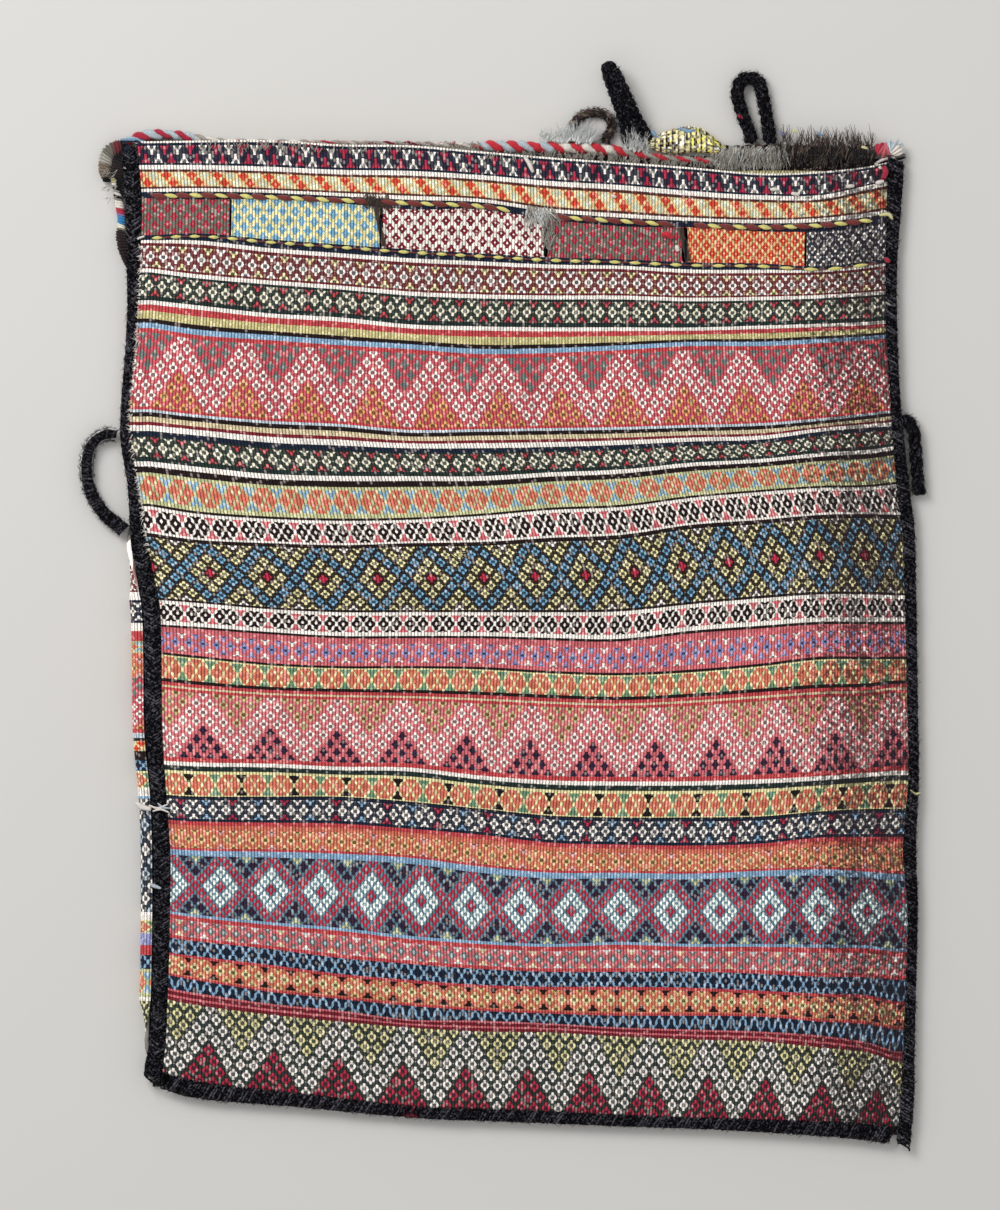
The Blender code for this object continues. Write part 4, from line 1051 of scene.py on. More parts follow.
def warp_faced_wool():
    """Warp-faced wool: fine ribs of matt yarn, each pick a small bead, lozenges stepped from rib to rib.

    The picks are drawn at 1.9 mm, coarser than in the real cloth, so that they show. Their colour carries
    painted shade in the gaps between ribs and picks, and a painted highlight on each bead's crown.
    """
    material, tree, shader = new_material("warp_faced_wool", 0.92, 0.1)
    across = add(tree, "ShaderNodeSeparateXYZ", add(tree, "ShaderNodeUVMap", uv_map="weave"))
    down = across.node.outputs[1]
    rib = add(tree, "ShaderNodeSeparateXYZ", add(tree, "ShaderNodeUVMap", uv_map="threads"))
    pick = rib.node.outputs[1]
    coords = add(tree, "ShaderNodeTexCoord").node.outputs["Object"]
    fibre = add(tree, "ShaderNodeTexNoise", {"Vector": coords, "Scale": 900.0, "Detail": 2.0})

    stepped = add(tree, MATHS, add(tree, MATHS, across, 0.25, operation="ADD"), 0.5, operation="SNAP")
    across = add(tree, "ShaderNodeMix", {"Factor": 0.4, "A": across, "B": stepped})
    loose = add(tree, MATHS, fibre, 0.2, -0.1, operation="MULTIPLY_ADD")
    reach = add(tree, MATHS, across, add(tree, MATHS, down, loose, operation="ADD"), operation="ADD")
    below = add(tree, MATHS, reach, 1.0, operation="GREATER_THAN")
    off = add(tree, MATHS, reach, 1.0, operation="PINGPONG")

    upper, lower, ground, eye = (add(tree, "ShaderNodeAttribute", attribute_name=label) for label in YARNS)
    solid = add(tree, "ShaderNodeMix",
                {"Factor": below, "A": upper.node.outputs["Alpha"], "B": lower.node.outputs["Alpha"]})
    yarn = add(tree, "ShaderNodeMix", {"Factor": below, "A": upper, "B": lower}, data_type="RGBA")
    in_lozenge = add(tree, MATHS, off, ground.node.outputs["Alpha"], operation="LESS_THAN")
    in_eye = add(tree, MATHS, off, eye.node.outputs["Alpha"], operation="LESS_THAN")
    open_eye = add(tree, MATHS, in_eye, solid, operation="SUBTRACT", use_clamp=True)
    to_corner = add(tree, MATHS, across, down, operation="SUBTRACT")
    to_corner = add(tree, MATHS, to_corner, operation="ABSOLUTE")
    speck = add(tree, MATHS, to_corner, 0.92, operation="GREATER_THAN")
    open_net = add(tree, MATHS, ground.node.outputs["Alpha"], 0.72, operation="LESS_THAN")
    to_tip = add(tree, MATHS, down, below, operation="SUBTRACT")
    to_tip = add(tree, MATHS, to_tip, operation="ABSOLUTE")
    tip = add(tree, MATHS, to_tip, 0.52, operation="GREATER_THAN")
    tip = add(tree, MATHS, tip, open_net, operation="MULTIPLY")
    in_lozenge = add(tree, MATHS, in_lozenge, tip, operation="SUBTRACT", use_clamp=True)
    speck = add(tree, MATHS, speck, open_net, operation="MULTIPLY")
    speck = add(tree, MATHS, speck, 0.3, 0.03, operation="MULTIPLY_ADD")
    ground = add(tree, "ShaderNodeMix", {"Factor": speck, "A": ground, "B": yarn}, data_type="RGBA")
    eye = add(tree, "ShaderNodeMix", {"Factor": 0.1, "A": eye, "B": yarn}, data_type="RGBA")
    figured = add(tree, "ShaderNodeMix", {"Factor": in_lozenge, "A": ground, "B": yarn}, data_type="RGBA")
    figured = add(tree, "ShaderNodeMix", {"Factor": open_eye, "A": figured, "B": eye}, data_type="RGBA")

    rib_number = add(tree, MATHS, rib, 0.5, operation="ADD")
    rib_number = add(tree, MATHS, rib_number, operation="FLOOR")
    odd = add(tree, MATHS, rib_number, 2.0, operation="FLOORED_MODULO")
    staggered = add(tree, MATHS, odd, 0.5, pick, operation="MULTIPLY_ADD")
    pick_number = add(tree, MATHS, staggered, 0.5, operation="ADD")
    pick_number = add(tree, MATHS, pick_number, operation="FLOOR")
    from_ridge = add(tree, MATHS, rib, 0.5, operation="PINGPONG")
    from_pick = add(tree, MATHS, staggered, 0.5, operation="PINGPONG")
    ridge_fall = add(tree, MATHS, from_ridge, 2.0, operation="POWER")
    pick_fall = add(tree, MATHS, from_pick, 3.0, operation="POWER")
    bead = add(tree, MATHS, ridge_fall, -3.8, 1.0, operation="MULTIPLY_ADD")
    bead = add(tree, MATHS, pick_fall, -2.6, bead, operation="MULTIPLY_ADD")

    stitch_key = add(tree, "ShaderNodeCombineXYZ", rib_number, pick_number)
    stitch_tint = add(tree, "ShaderNodeTexWhiteNoise", {"Vector": stitch_key}, noise_dimensions="2D")
    rib_tint = add(tree, "ShaderNodeTexWhiteNoise", {"W": rib_number}, noise_dimensions="1D")
    fading = add(tree, "ShaderNodeTexNoise", {"Vector": coords, "Scale": 22.0, "Detail": 4.0})
    light = add(tree, MATHS, stitch_tint, 0.5, 0.7, operation="MULTIPLY_ADD")
    for source, share in ((rib_tint, 0.1), (fading, 0.3), (fibre, 0.2)):
        light = add(tree, MATHS, source, share, light, operation="MULTIPLY_ADD")
    light = add(tree, MATHS, light, 0.2, operation="SUBTRACT")
    # Painted shade and highlight: each bead's colour darkened in the gaps between ribs and picks and
    # brightened at its crown
    bead_shade_and_highlight = add(tree, "ShaderNodeMapRange",
              {"Value": bead, "From Min": 0.0, "From Max": 0.75, "To Min": 0.1, "To Max": 1.38})
    light = add(tree, MATHS, light, bead_shade_and_highlight, operation="MULTIPLY")
    # Some random stitches turn paler, most at their crowns: partly paler yarn, partly a painted highlight
    paler = add(tree, MATHS, stitch_tint, 0.8, operation="GREATER_THAN")
    paler = add(tree, MATHS, paler, bead, operation="MULTIPLY", use_clamp=True)
    paler = add(tree, MATHS, paler, 0.22, operation="MULTIPLY")
    figured = add(tree, "ShaderNodeMix", {"Factor": paler, "A": figured, "B": (*linear(PALE_WOOL_AND_HIGHLIGHT), 1.0)},
                  data_type="RGBA")
    colour = add(tree, "ShaderNodeHueSaturation", {"Color": figured, "Value": light})
    place = add(tree, "ShaderNodeSeparateXYZ", coords)
    rubbed = add(tree, "ShaderNodeMapRange",
                 {"Value": place, "From Min": place_x(WORN_FROM), "From Max": place_x(WORN_TO),
                  "To Max": 0.3})
    specks = add(tree, "ShaderNodeTexNoise", {"Vector": coords, "Scale": 420.0, "Detail": 2.0})
    specks = add(tree, MATHS, specks, rubbed, operation="ADD")
    specks = add(tree, "ShaderNodeMapRange",
                 {"Value": specks, "From Min": 0.72, "From Max": 0.82, "To Max": 0.75})
    colour = add(tree, "ShaderNodeMix", {"Factor": specks, "A": colour, "B": (*linear(WORN_DYE), 1.0)},
                 data_type="RGBA")
    tree.links.new(colour, shader.inputs["Base Color"])

    fuzz = add(tree, MATHS, fibre, 0.5, bead, operation="MULTIPLY_ADD")
    bump = add(tree, "ShaderNodeBump", {"Height": fuzz, "Distance": 0.0005, "Strength": 0.7})
    tree.links.new(bump, shader.inputs["Normal"])
    return material


def bag_dyes(context):
    """The dyes as linear colours by name."""
    dyes = context.scene.bag_dyes
    return {name: tuple(getattr(dyes, name)) for name in BagDyes.__annotations__}


def shared(store, make):
    """A material or a tree made once, and kept in a store under the name of what makes it."""
    return store.get(make.__name__) or make()


def smooth_route(points, steps):
    """A smooth curve through chosen points, with a number of steps between each two."""
    points = [Vector(p) for p in points]
    ends = [2 * points[0] - points[1]] + points + [2 * points[-1] - points[-2]]
    route = []
    for a, b, c, d in zip(ends, ends[1:], ends[2:], ends[3:]):
        for k in range(steps):
            t = k / steps
            bend = 2 * a - 5 * b + 4 * c - d
            turn = 3 * b - a - 3 * c + d
            route.append(0.5 * (2 * b + (c - a) * t + bend * t**2 + turn * t**3))
    return route + [points[-1]]


def flat_route(points, height, steps=6):
    """A smooth route at one height over the floor, through photograph points."""
    return smooth_route([(place_x(px), place_y(py), height) for px, py in points], steps)


def front_top(px, py):
    """Height of the front panel's upper face."""
    return front_height(px, py) + CLOTH_THICKNESS / 2


class Guide:
    """Lines or points that a tree grows its yarns on, with the values that each place gives it."""

    def __init__(self, route=(), shares=None, yarns=(UNDYED, None)):
        self.places = []
        self.lines = []
        self.values = {"share": [], "lean": [], "yarn_a": [], "yarn_b": []}
        self.line(route, shares, yarns)

    def place(self, at, share=1.0, lean=(0.0, 0.0, 1.0), yarn_a=UNDYED, yarn_b=None):
        """Adds a place and gives its number."""
        self.places.append(tuple(at))
        self.values["share"].append(share)
        self.values["lean"].append(tuple(lean))
        self.values["yarn_a"].append((*yarn_a, 1.0))
        self.values["yarn_b"].append((*(yarn_b or yarn_a), 1.0))
        return len(self.places) - 1

    def line(self, route, shares=None, yarns=(UNDYED, None)):
        """Adds a line through a route, with a share for each place, and two yarns for all or each of them."""
        numbers = []
        for n, at in enumerate(route):
            yarn_a, yarn_b = yarns[n] if isinstance(yarns, list) else yarns
            numbers.append(self.place(at, shares[n] if shares else 1.0, yarn_a=yarn_a, yarn_b=yarn_b))
        self.lines += list(zip(numbers, numbers[1:]))

    def object(self, name):
        """The guide as an object in the scene."""
        mesh = bpy.data.meshes.new(name)
        mesh.from_pydata(self.places, self.lines, [])
        kinds = {"share": ("FLOAT", "value"), "lean": ("FLOAT_VECTOR", "vector"),
                 "yarn_a": ("FLOAT_COLOR", "color"), "yarn_b": ("FLOAT_COLOR", "color")}
        for label, (kind, field) in kinds.items():
            values = self.values[label]
            flat = values if kind == "FLOAT" else [c for value in values for c in value]
            mesh.attributes.new(label, kind, "POINT").data.foreach_set(field, flat)
        return link(name, mesh)


def grow(name, make_tree, guide, make_material, slot, *nodes, **inputs):
    """Runs a tree on a guide and keeps what it makes as a plain mesh, with its faces turned outwards."""
    item = guide.object(name + "_guide")
    modifier = item.modifiers.new(name, "NODES")
    tree = modifier.node_group = shared(bpy.data.node_groups, make_tree)
    sockets = {s.name: s.identifier for s in tree.interface.items_tree if s.in_out == "INPUT"}
    modifier[sockets["Material"]] = shared(bpy.data.materials, make_material)
    for label, value in inputs.items():
        modifier[sockets[label.replace("_", " ").title()]] = value
    mesh = bpy.data.meshes.new_from_object(item.evaluated_get(bpy.context.evaluated_depsgraph_get()))
    bpy.data.objects.remove(item)
    mesh.name = name
    return settle(link(name, turned_out(mesh)), slot, *nodes)


def new_tree(name, numbers):
    """A geometry tree that takes a guide, a material and named numbers, with its inputs by name."""
    tree = bpy.data.node_groups.new(name, "GeometryNodeTree")
    sockets = tree.interface
    sockets.new_socket("Geometry", in_out="INPUT", socket_type="NodeSocketGeometry")
    sockets.new_socket("Material", in_out="INPUT", socket_type="NodeSocketMaterial")
    for label, value in numbers.items():
        kind = "NodeSocketInt" if isinstance(value, int) else "NodeSocketFloat"
        sockets.new_socket(label, in_out="INPUT", socket_type=kind).default_value = value
    sockets.new_socket("Geometry", in_out="OUTPUT", socket_type="NodeSocketGeometry")
    given = tree.nodes.new("NodeGroupInput").outputs
    return tree, given


def close_tree(tree, given, geometry):
    """Ends a tree with plain geometry in its material."""
    plain = add(tree, "GeometryNodeRealizeInstances", {"Geometry": geometry})
    dressed = add(tree, "GeometryNodeSetMaterial", {"Geometry": plain, "Material": given["Material"]})
    tree.links.new(dressed, tree.nodes.new("NodeGroupOutput").inputs[0])
    return tree


def evened_guide(tree, given):
    """The guide's lines as curves with even steps and their normals level with the floor."""
    curve = add(tree, "GeometryNodeMeshToCurve", {"Mesh": given["Geometry"]})
    curve = add(tree, "GeometryNodeResampleCurve", {"Curve": curve, "Length": given["Step"]}, mode="LENGTH")
    return add(tree, "GeometryNodeSetCurveNormal", {"Curve": curve}, mode="Z_UP")


def straight_strand(tree, count):
    """A straight curve one metre up from the origin, with a number of points."""
    line = add(tree, "GeometryNodeCurvePrimitiveLine", {"Start": (0.0, 0.0, 0.0), "End": (0.0, 0.0, 1.0)})
    return add(tree, "GeometryNodeResampleCurve", {"Curve": line, "Count": count}, mode="COUNT")


def tube(tree, curve, sides, radius, scale):
    """A closed tube of a few sides along a curve."""
    ring = add(tree, "GeometryNodeCurvePrimitiveCircle", {"Resolution": sides, "Radius": radius},
               mode="RADIUS")
    return add(tree, "GeometryNodeCurveToMesh",
               {"Curve": curve, "Profile Curve": ring, "Scale": scale, "Fill Caps": True})


def wound_cord():
    """Plies that wind round a guide, or cross over each other in a plait where they rise twice a turn."""
    tree, given = new_tree("wound_cord", {
        "Plies": 2, "Ply Radius": 0.001, "Side Swing": 0.0, "Rise": 0.0, "Pitch": 0.01, "Rises": 1.0,
        "Lead": 0.25, "Step": 0.001, "Unevenness": 0.0})
    curve = evened_guide(tree, given)
    plies = add(tree, "GeometryNodeDuplicateElements", {"Geometry": curve, "Amount": given["Plies"]},
                domain="SPLINE")
    number = plies.node.outputs["Duplicate Index"]
    plies = add(tree, "GeometryNodeStoreNamedAttribute",
                {"Geometry": plies, "Name": "ply", "Value": number}, data_type="FLOAT", domain="CURVE")
    along = add(tree, "GeometryNodeSplineParameter").node.outputs["Length"]
    share = add(tree, "GeometryNodeInputNamedAttribute", "share", data_type="FLOAT")
    turns = add(tree, MATHS, along, given["Pitch"], operation="DIVIDE")
    behind = add(tree, MATHS, number, given["Plies"], operation="DIVIDE")
    turns = add(tree, MATHS, turns, behind, operation="ADD")
    side_turn = add(tree, MATHS, turns, math.tau, operation="MULTIPLY")
    up_turn = add(tree, MATHS, turns, given["Rises"], given["Lead"], operation="MULTIPLY_ADD")
    up_turn = add(tree, MATHS, up_turn, math.tau, operation="MULTIPLY")
    normal = add(tree, "GeometryNodeInputNormal")
    tangent = add(tree, "GeometryNodeInputTangent")
    upwards = add(tree, VECTORS, normal, tangent, operation="CROSS_PRODUCT")
    offsets = []
    for turn, swing, direction in ((side_turn, "Side Swing", normal), (up_turn, "Rise", upwards)):
        wave = add(tree, MATHS, turn, operation="SINE")
        reach = add(tree, MATHS, wave, given[swing], operation="MULTIPLY")
        reach = add(tree, MATHS, reach, share, operation="MULTIPLY")
        offsets.append(add(tree, VECTORS, {0: direction, "Scale": reach}, operation="SCALE"))
    offset = add(tree, VECTORS, offsets[0], offsets[1], operation="ADD")
    plies = add(tree, "GeometryNodeSetPosition", {"Geometry": plies, "Offset": offset})
    loose = add(tree, "ShaderNodeTexNoise", {"Scale": 260.0, "Detail": 1.0})
    loose = add(tree, MATHS, loose, 0.5, operation="SUBTRACT")
    loose = add(tree, MATHS, loose, given["Unevenness"], 1.0, operation="MULTIPLY_ADD")
    thickness = add(tree, MATHS, share, loose, operation="MULTIPLY")
    return close_tree(tree, given, tube(tree, plies, 6, given["Ply Radius"], thickness))


def stitched_binding():
    """Hair stitches laid over a round core: all one way, or from both sides to a herringbone."""
    tree, given = new_tree("stitched_binding", {
        "Sides": 1, "Half Width": 0.005, "Half Height": 0.0033, "Strand Radius": 0.0007, "Spacing": 0.0018,
        "Slant": 0.005, "First Turn": -0.3, "Last Turn": 3.4, "Step": 0.004, "Seed": 1})
    curve = evened_guide(tree, given)
    share = add(tree, "GeometryNodeInputNamedAttribute", "share", data_type="FLOAT")
    circle = add(tree, "GeometryNodeCurvePrimitiveCircle", {"Resolution": 12, "Radius": 1.0}, mode="RADIUS")
    oval = add(tree, "ShaderNodeCombineXYZ", {"X": given["Half Width"], "Y": given["Half Height"], "Z": 1.0})
    oval = add(tree, VECTORS, {0: oval, "Scale": 0.94}, operation="SCALE")
    ring = add(tree, "GeometryNodeTransform", {"Geometry": circle, "Scale": oval})
    core = add(tree, "GeometryNodeCurveToMesh",
               {"Curve": curve, "Profile Curve": ring, "Scale": share, "Fill Caps": True})

    strand = straight_strand(tree, 8)
    factor = add(tree, "GeometryNodeSplineParameter")
    turn = add(tree, "ShaderNodeMapRange",
               {"Value": factor, "To Min": given["First Turn"], "To Max": given["Last Turn"]})
    places = []
    for wave, reach in (("COSINE", "Half Width"), ("SINE", "Half Height")):
        value = add(tree, MATHS, turn, operation=wave)
        places.append(add(tree, MATHS, value, given[reach], operation="MULTIPLY"))
    down = add(tree, MATHS, places[1], -1.0, operation="MULTIPLY")
    along = add(tree, MATHS, factor, 0.5, operation="SUBTRACT")
    along = add(tree, MATHS, along, given["Slant"], operation="MULTIPLY")
    place = add(tree, "ShaderNodeCombineXYZ", {"X": places[0], "Y": down, "Z": along})
    strand = add(tree, "GeometryNodeSetPosition", {"Geometry": strand, "Position": place})
    strand = tube(tree, strand, 5, given["Strand Radius"], 1.0)

    points = add(tree, "GeometryNodeCurveToPoints", {"Curve": curve, "Length": given["Spacing"]},
                 mode="LENGTH")
    facing = points.node.outputs["Rotation"]
    points = add(tree, "GeometryNodeStoreNamedAttribute",
                 {"Geometry": points, "Name": "facing", "Value": facing}, data_type="QUATERNION",
                 domain="POINT")
    points = add(tree, "GeometryNodeDuplicateElements", {"Geometry": points, "Amount": given["Sides"]},
                 domain="POINT")
    side = points.node.outputs["Duplicate Index"]
    number = add(tree, "GeometryNodeInputIndex")
    swell = add(tree, "FunctionNodeRandomValue",
                {"Min": 0.94, "Max": 1.05, "ID": number, "Seed": given["Seed"]}, data_type="FLOAT")
    swell = add(tree, MATHS, swell, share, operation="MULTIPLY")
    mirror = add(tree, MATHS, side, -2.0, 1.0, operation="MULTIPLY_ADD")
    mirror = add(tree, MATHS, mirror, swell, operation="MULTIPLY")
    stretch = add(tree, "FunctionNodeRandomValue", {"Min": 0.8, "Max": 1.2, "ID": number, "Seed": 5},
                  data_type="FLOAT")
    size = add(tree, "ShaderNodeCombineXYZ", {"X": mirror, "Y": swell, "Z": stretch})
    facing = add(tree, "GeometryNodeInputNamedAttribute", "facing", data_type="QUATERNION")
    stitches = add(tree, "GeometryNodeInstanceOnPoints",
                   {"Points": points, "Instance": strand, "Rotation": facing, "Scale": size})
    index = add(tree, "GeometryNodeInputIndex")
    tint = add(tree, "FunctionNodeRandomValue", {"Min": 0.3, "Max": 1.0, "ID": index, "Seed": 9},
               data_type="FLOAT")
    stitches = add(tree, "GeometryNodeStoreNamedAttribute",
                   {"Geometry": stitches, "Name": "tint", "Value": tint}, data_type="FLOAT",
                   domain="INSTANCE")
    joined = add(tree, "GeometryNodeJoinGeometry")
    tree.links.new(core, joined.node.inputs[0])
    tree.links.new(stitches, joined.node.inputs[0])
    return close_tree(tree, given, joined)


def leaning_hairs():
    """Tapering hairs on a guide's places, each along its place's lean, spread and bent a little."""
    tree, given = new_tree("leaning_hairs", {
        "Hairs": 3, "Thickness": 0.0002, "Spread": 0.35, "Bend": 0.001, "Shortest": 0.5, "Seed": 1})
    points = add(tree, "GeometryNodeMeshToPoints", {"Mesh": given["Geometry"]}, mode="VERTICES")
    points = add(tree, "GeometryNodeDuplicateElements", {"Geometry": points, "Amount": given["Hairs"]},
                 domain="POINT")
    number = add(tree, "GeometryNodeInputIndex")
    lean = add(tree, "GeometryNodeInputNamedAttribute", "lean", data_type="FLOAT_VECTOR")
    reach = add(tree, VECTORS, lean, operation="LENGTH").node.outputs["Value"]
    astray = add(tree, "FunctionNodeRandomValue",
                 {"Min": (-1.0, -1.0, -1.0), "Max": (1.0, 1.0, 1.0), "ID": number, "Seed": given["Seed"]},
                 data_type="FLOAT_VECTOR")
    astray = add(tree, VECTORS, {0: astray, "Scale": given["Spread"]}, operation="SCALE")
    astray = add(tree, VECTORS, {0: astray, "Scale": reach}, operation="SCALE")
    heading = add(tree, VECTORS, lean, astray, operation="ADD")
    facing = add(tree, "FunctionNodeAlignRotationToVector", {"Vector": heading}, axis="Z")
    roll = add(tree, "FunctionNodeRandomValue", {"Min": 0.0, "Max": math.tau, "ID": number, "Seed": 3},
               data_type="FLOAT")
    roll = add(tree, "ShaderNodeCombineXYZ", {"Z": roll})
    roll = add(tree, "FunctionNodeEulerToRotation", {"Euler": roll})
    facing = add(tree, "FunctionNodeRotateRotation", {"Rotation": facing, "Rotate By": roll},
                 rotation_space="LOCAL")
    span = add(tree, "FunctionNodeRandomValue",
               {"Min": given["Shortest"], "Max": 1.0, "ID": number, "Seed": 4}, data_type="FLOAT")
    span = add(tree, MATHS, span, reach, operation="MULTIPLY")
    size = add(tree, "ShaderNodeCombineXYZ", {"X": 1.0, "Y": 1.0, "Z": span})

    hair = straight_strand(tree, 5)
    factor = add(tree, "GeometryNodeSplineParameter")
    bow = add(tree, MATHS, factor, 2.0, operation="POWER")
    bow = add(tree, MATHS, bow, given["Bend"], operation="MULTIPLY")
    bow = add(tree, "ShaderNodeCombineXYZ", {"X": bow})
    hair = add(tree, "GeometryNodeSetPosition", {"Geometry": hair, "Offset": bow})
    taper = add(tree, MATHS, factor, -0.7, 1.0, operation="MULTIPLY_ADD")
    hair = tube(tree, hair, 3, given["Thickness"], taper)
    hairs = add(tree, "GeometryNodeInstanceOnPoints",
                {"Points": points, "Instance": hair, "Rotation": facing, "Scale": size})
    index = add(tree, "GeometryNodeInputIndex")
    tint = add(tree, "FunctionNodeRandomValue", {"Min": 0.0, "Max": 1.0, "ID": index, "Seed": 9},
               data_type="FLOAT")
    hairs = add(tree, "GeometryNodeStoreNamedAttribute", {"Geometry": hairs, "Name": "tint", "Value": tint},
                data_type="FLOAT", domain="INSTANCE")
    return close_tree(tree, given, hairs)


def coarse_goat_hair():
    """Coarse goat hair: near black and dull, with a painted grey highlight on some strands and on flecks of
    them.
    """
    material, tree, shader = new_material("coarse_goat_hair", 0.8, 0.0)
    shader.inputs["Specular IOR Level"].default_value = 0.05
    dyes = bag_dyes(bpy.context)
    coords = add(tree, "ShaderNodeTexCoord").node.outputs["Object"]
    flecks = add(tree, "ShaderNodeTexNoise", {"Vector": coords, "Scale": 700.0, "Detail": 3.0})
    tint = add(tree, "ShaderNodeAttribute", attribute_name="tint").node.outputs["Fac"]
    tint = add(tree, MATHS, tint, 0.6, operation="MAXIMUM")
    # Painted highlight: brighter strands and flecks mixed towards the pale grey highlight dye
    light = add(tree, MATHS, tint, 0.45, flecks, operation="MULTIPLY_ADD")
    light = add(tree, "ShaderNodeMapRange",
                {"Value": light, "From Min": 0.8, "From Max": 1.15, "To Max": 0.7})
    colour = add(tree, "ShaderNodeMix",
                 {"Factor": light, "A": (*dyes["goat_hair"], 1.0), "B": (*dyes["worn_hair"], 1.0)},
                 data_type="RGBA")
    tree.links.new(colour, shader.inputs["Base Color"])
    bump = add(tree, "ShaderNodeBump", {"Height": flecks, "Distance": 0.0004, "Strength": 0.6})
    tree.links.new(bump, shader.inputs["Normal"])
    return material


def spun_wool():
    """Hand-spun wool: each ply in its own dye, dull and fibrous, with thick and thin places in its colour."""
    material, tree, shader = new_material("spun_wool", 0.9, 0.2)
    coords = add(tree, "ShaderNodeTexCoord").node.outputs["Object"]
    fibre = add(tree, "ShaderNodeTexNoise", {"Vector": coords, "Scale": 800.0, "Detail": 3.0})
    ply = add(tree, "ShaderNodeAttribute", attribute_name="ply").node.outputs["Fac"]
    tint = add(tree, "ShaderNodeAttribute", attribute_name="tint").node.outputs["Fac"]
    first = add(tree, "ShaderNodeAttribute", attribute_name="yarn_a")
    second = add(tree, "ShaderNodeAttribute", attribute_name="yarn_b")
    is_second = add(tree, MATHS, ply, 2.0, operation="FLOORED_MODULO")
    dyed = add(tree, "ShaderNodeMix", {"Factor": is_second, "A": first, "B": second}, data_type="RGBA")
    light = add(tree, MATHS, fibre, 0.9, 0.45, operation="MULTIPLY_ADD")
    light = add(tree, MATHS, tint, 0.3, light, operation="MULTIPLY_ADD")
    colour = add(tree, "ShaderNodeHueSaturation", {"Color": dyed, "Value": light})
    tree.links.new(colour, shader.inputs["Base Color"])
    bump = add(tree, "ShaderNodeBump", {"Height": fibre, "Distance": 0.0004, "Strength": 0.6})
    tree.links.new(bump, shader.inputs["Normal"])
    return material


class BAG_OT_stage(bpy.types.Operator):
    """Lay the pale floor, hang the soft lights and set up the camera straight over the bag."""

    bl_idname = "bag.stage"
    bl_label = "Stage"

    def execute(self, context):
        self.make_floor(context)
        self.make_lights(context)
        self.make_camera(context)
        return {"FINISHED"}

    def make_floor(self, context):
        """A wide plain floor just under the bag."""
        reach = 3.0
        mesh = bpy.data.meshes.new("floor")
        corners = [(-reach, -reach), (reach, -reach), (reach, reach), (-reach, reach)]
        mesh.from_pydata([(x, y, -FLOOR_GAP) for x, y in corners], [], [(0, 1, 2, 3)])
        material, tree, shader = new_material("matt_paper", 0.95, 0.0)
        shader.inputs["Base Color"].default_value = (*context.scene.bag_dyes.floor, 1.0)
        mesh.materials.append(material)
        link("floor", mesh)

    def make_lights(self, context):
        """An even pale surround, with one broad lamp over the bag's upper left."""
        world = bpy.data.worlds.new("surround")
        world.use_nodes = True
        world.node_tree.nodes["Background"].inputs["Color"].default_value = (1.0, 1.0, 1.0, 1.0)
        world.node_tree.nodes["Background"].inputs["Strength"].default_value = 0.55
        context.scene.world = world
        lamp = bpy.data.lights.new("broad_lamp", "AREA")
        lamp.size = 1.2
        lamp.energy = 34.0
        item = link("broad_lamp", lamp)
        item.location = (-1.1, 1.3, 1.9)
        item.rotation_euler = (-item.location).to_track_quat("-Z", "Y").to_euler()

    def make_camera(self, context):
        """Straight down on the bag from far off, with the photograph's framing."""
        camera = bpy.data.cameras.new("camera")
        camera.sensor_fit = "VERTICAL"
        camera.sensor_height = SENSOR
        camera.lens = SENSOR * CAMERA_DISTANCE / (PHOTO_SIZE[1] * PIXEL)
        item = link("camera", camera)
        item.location = (place_x(VIEW_MIDDLE[0]), place_y(VIEW_MIDDLE[1]), VIEW_HEIGHT + CAMERA_DISTANCE)
        context.scene.camera = item
        context.scene.view_settings.view_transform = "Standard"


class BAG_OT_front_panel(bpy.types.Operator):
    """Weave the patterned front panel with its slits."""

    bl_idname = "bag.front_panel"
    bl_label = "Front panel"

    def execute(self, context):
        sizes = context.scene.bag_sizes
        rows, courses = front_courses()
        columns = cloth_columns()
        slits, pulls = self.find_slits(rows, courses, columns)

        def surface(n, k, side):
            """A point on the panel's outer side, 1, or inner side, -1."""
            row = rows[n]
            s = columns[k]
            px = warp_px(s, 600)
            for turn in range(2):
                py = row_py(row, px)
                px = warp_px(s, py)
            aside, along = slit_pull(k, n, slits, pulls)
            x = place_x(px) + aside
            y = place_y(py)
            lift = side * CLOTH_THICKNESS / 2 + cloth_unevenness(x, y, sizes.cloth_swell) + SLIT_LIFT * along
            if side > 0:
                lift += rib_lift(s, sizes.rib_relief) + (sizes.line_relief if row.raised else 0.0)
            return (x, y, dipped(px, py, front_height(px, py)) + lift)

        panel = woven_panel("front_panel", bag_dyes(context), rows, courses, columns, surface, slits)
        return {"FINISHED"}

    def find_slits(self, rows, courses, columns):
        """The column at each slit's left edge with its first and last row, and how far each stands open."""
        blocks = [n for n, course in enumerate(courses) if course.blocks]
        slits = []
        pulls = []
        for px, width in SLITS:
            py = row_py(rows[blocks[len(blocks) // 2]], px)
            nearest = min(range(len(columns)), key=lambda k: abs(warp_px(columns[k], py) - px))
            slits.append((nearest, blocks[0], blocks[-1] + 1))
            pulls.append(max(0.0, width - PIXEL * COLUMN))
        return slits, pulls


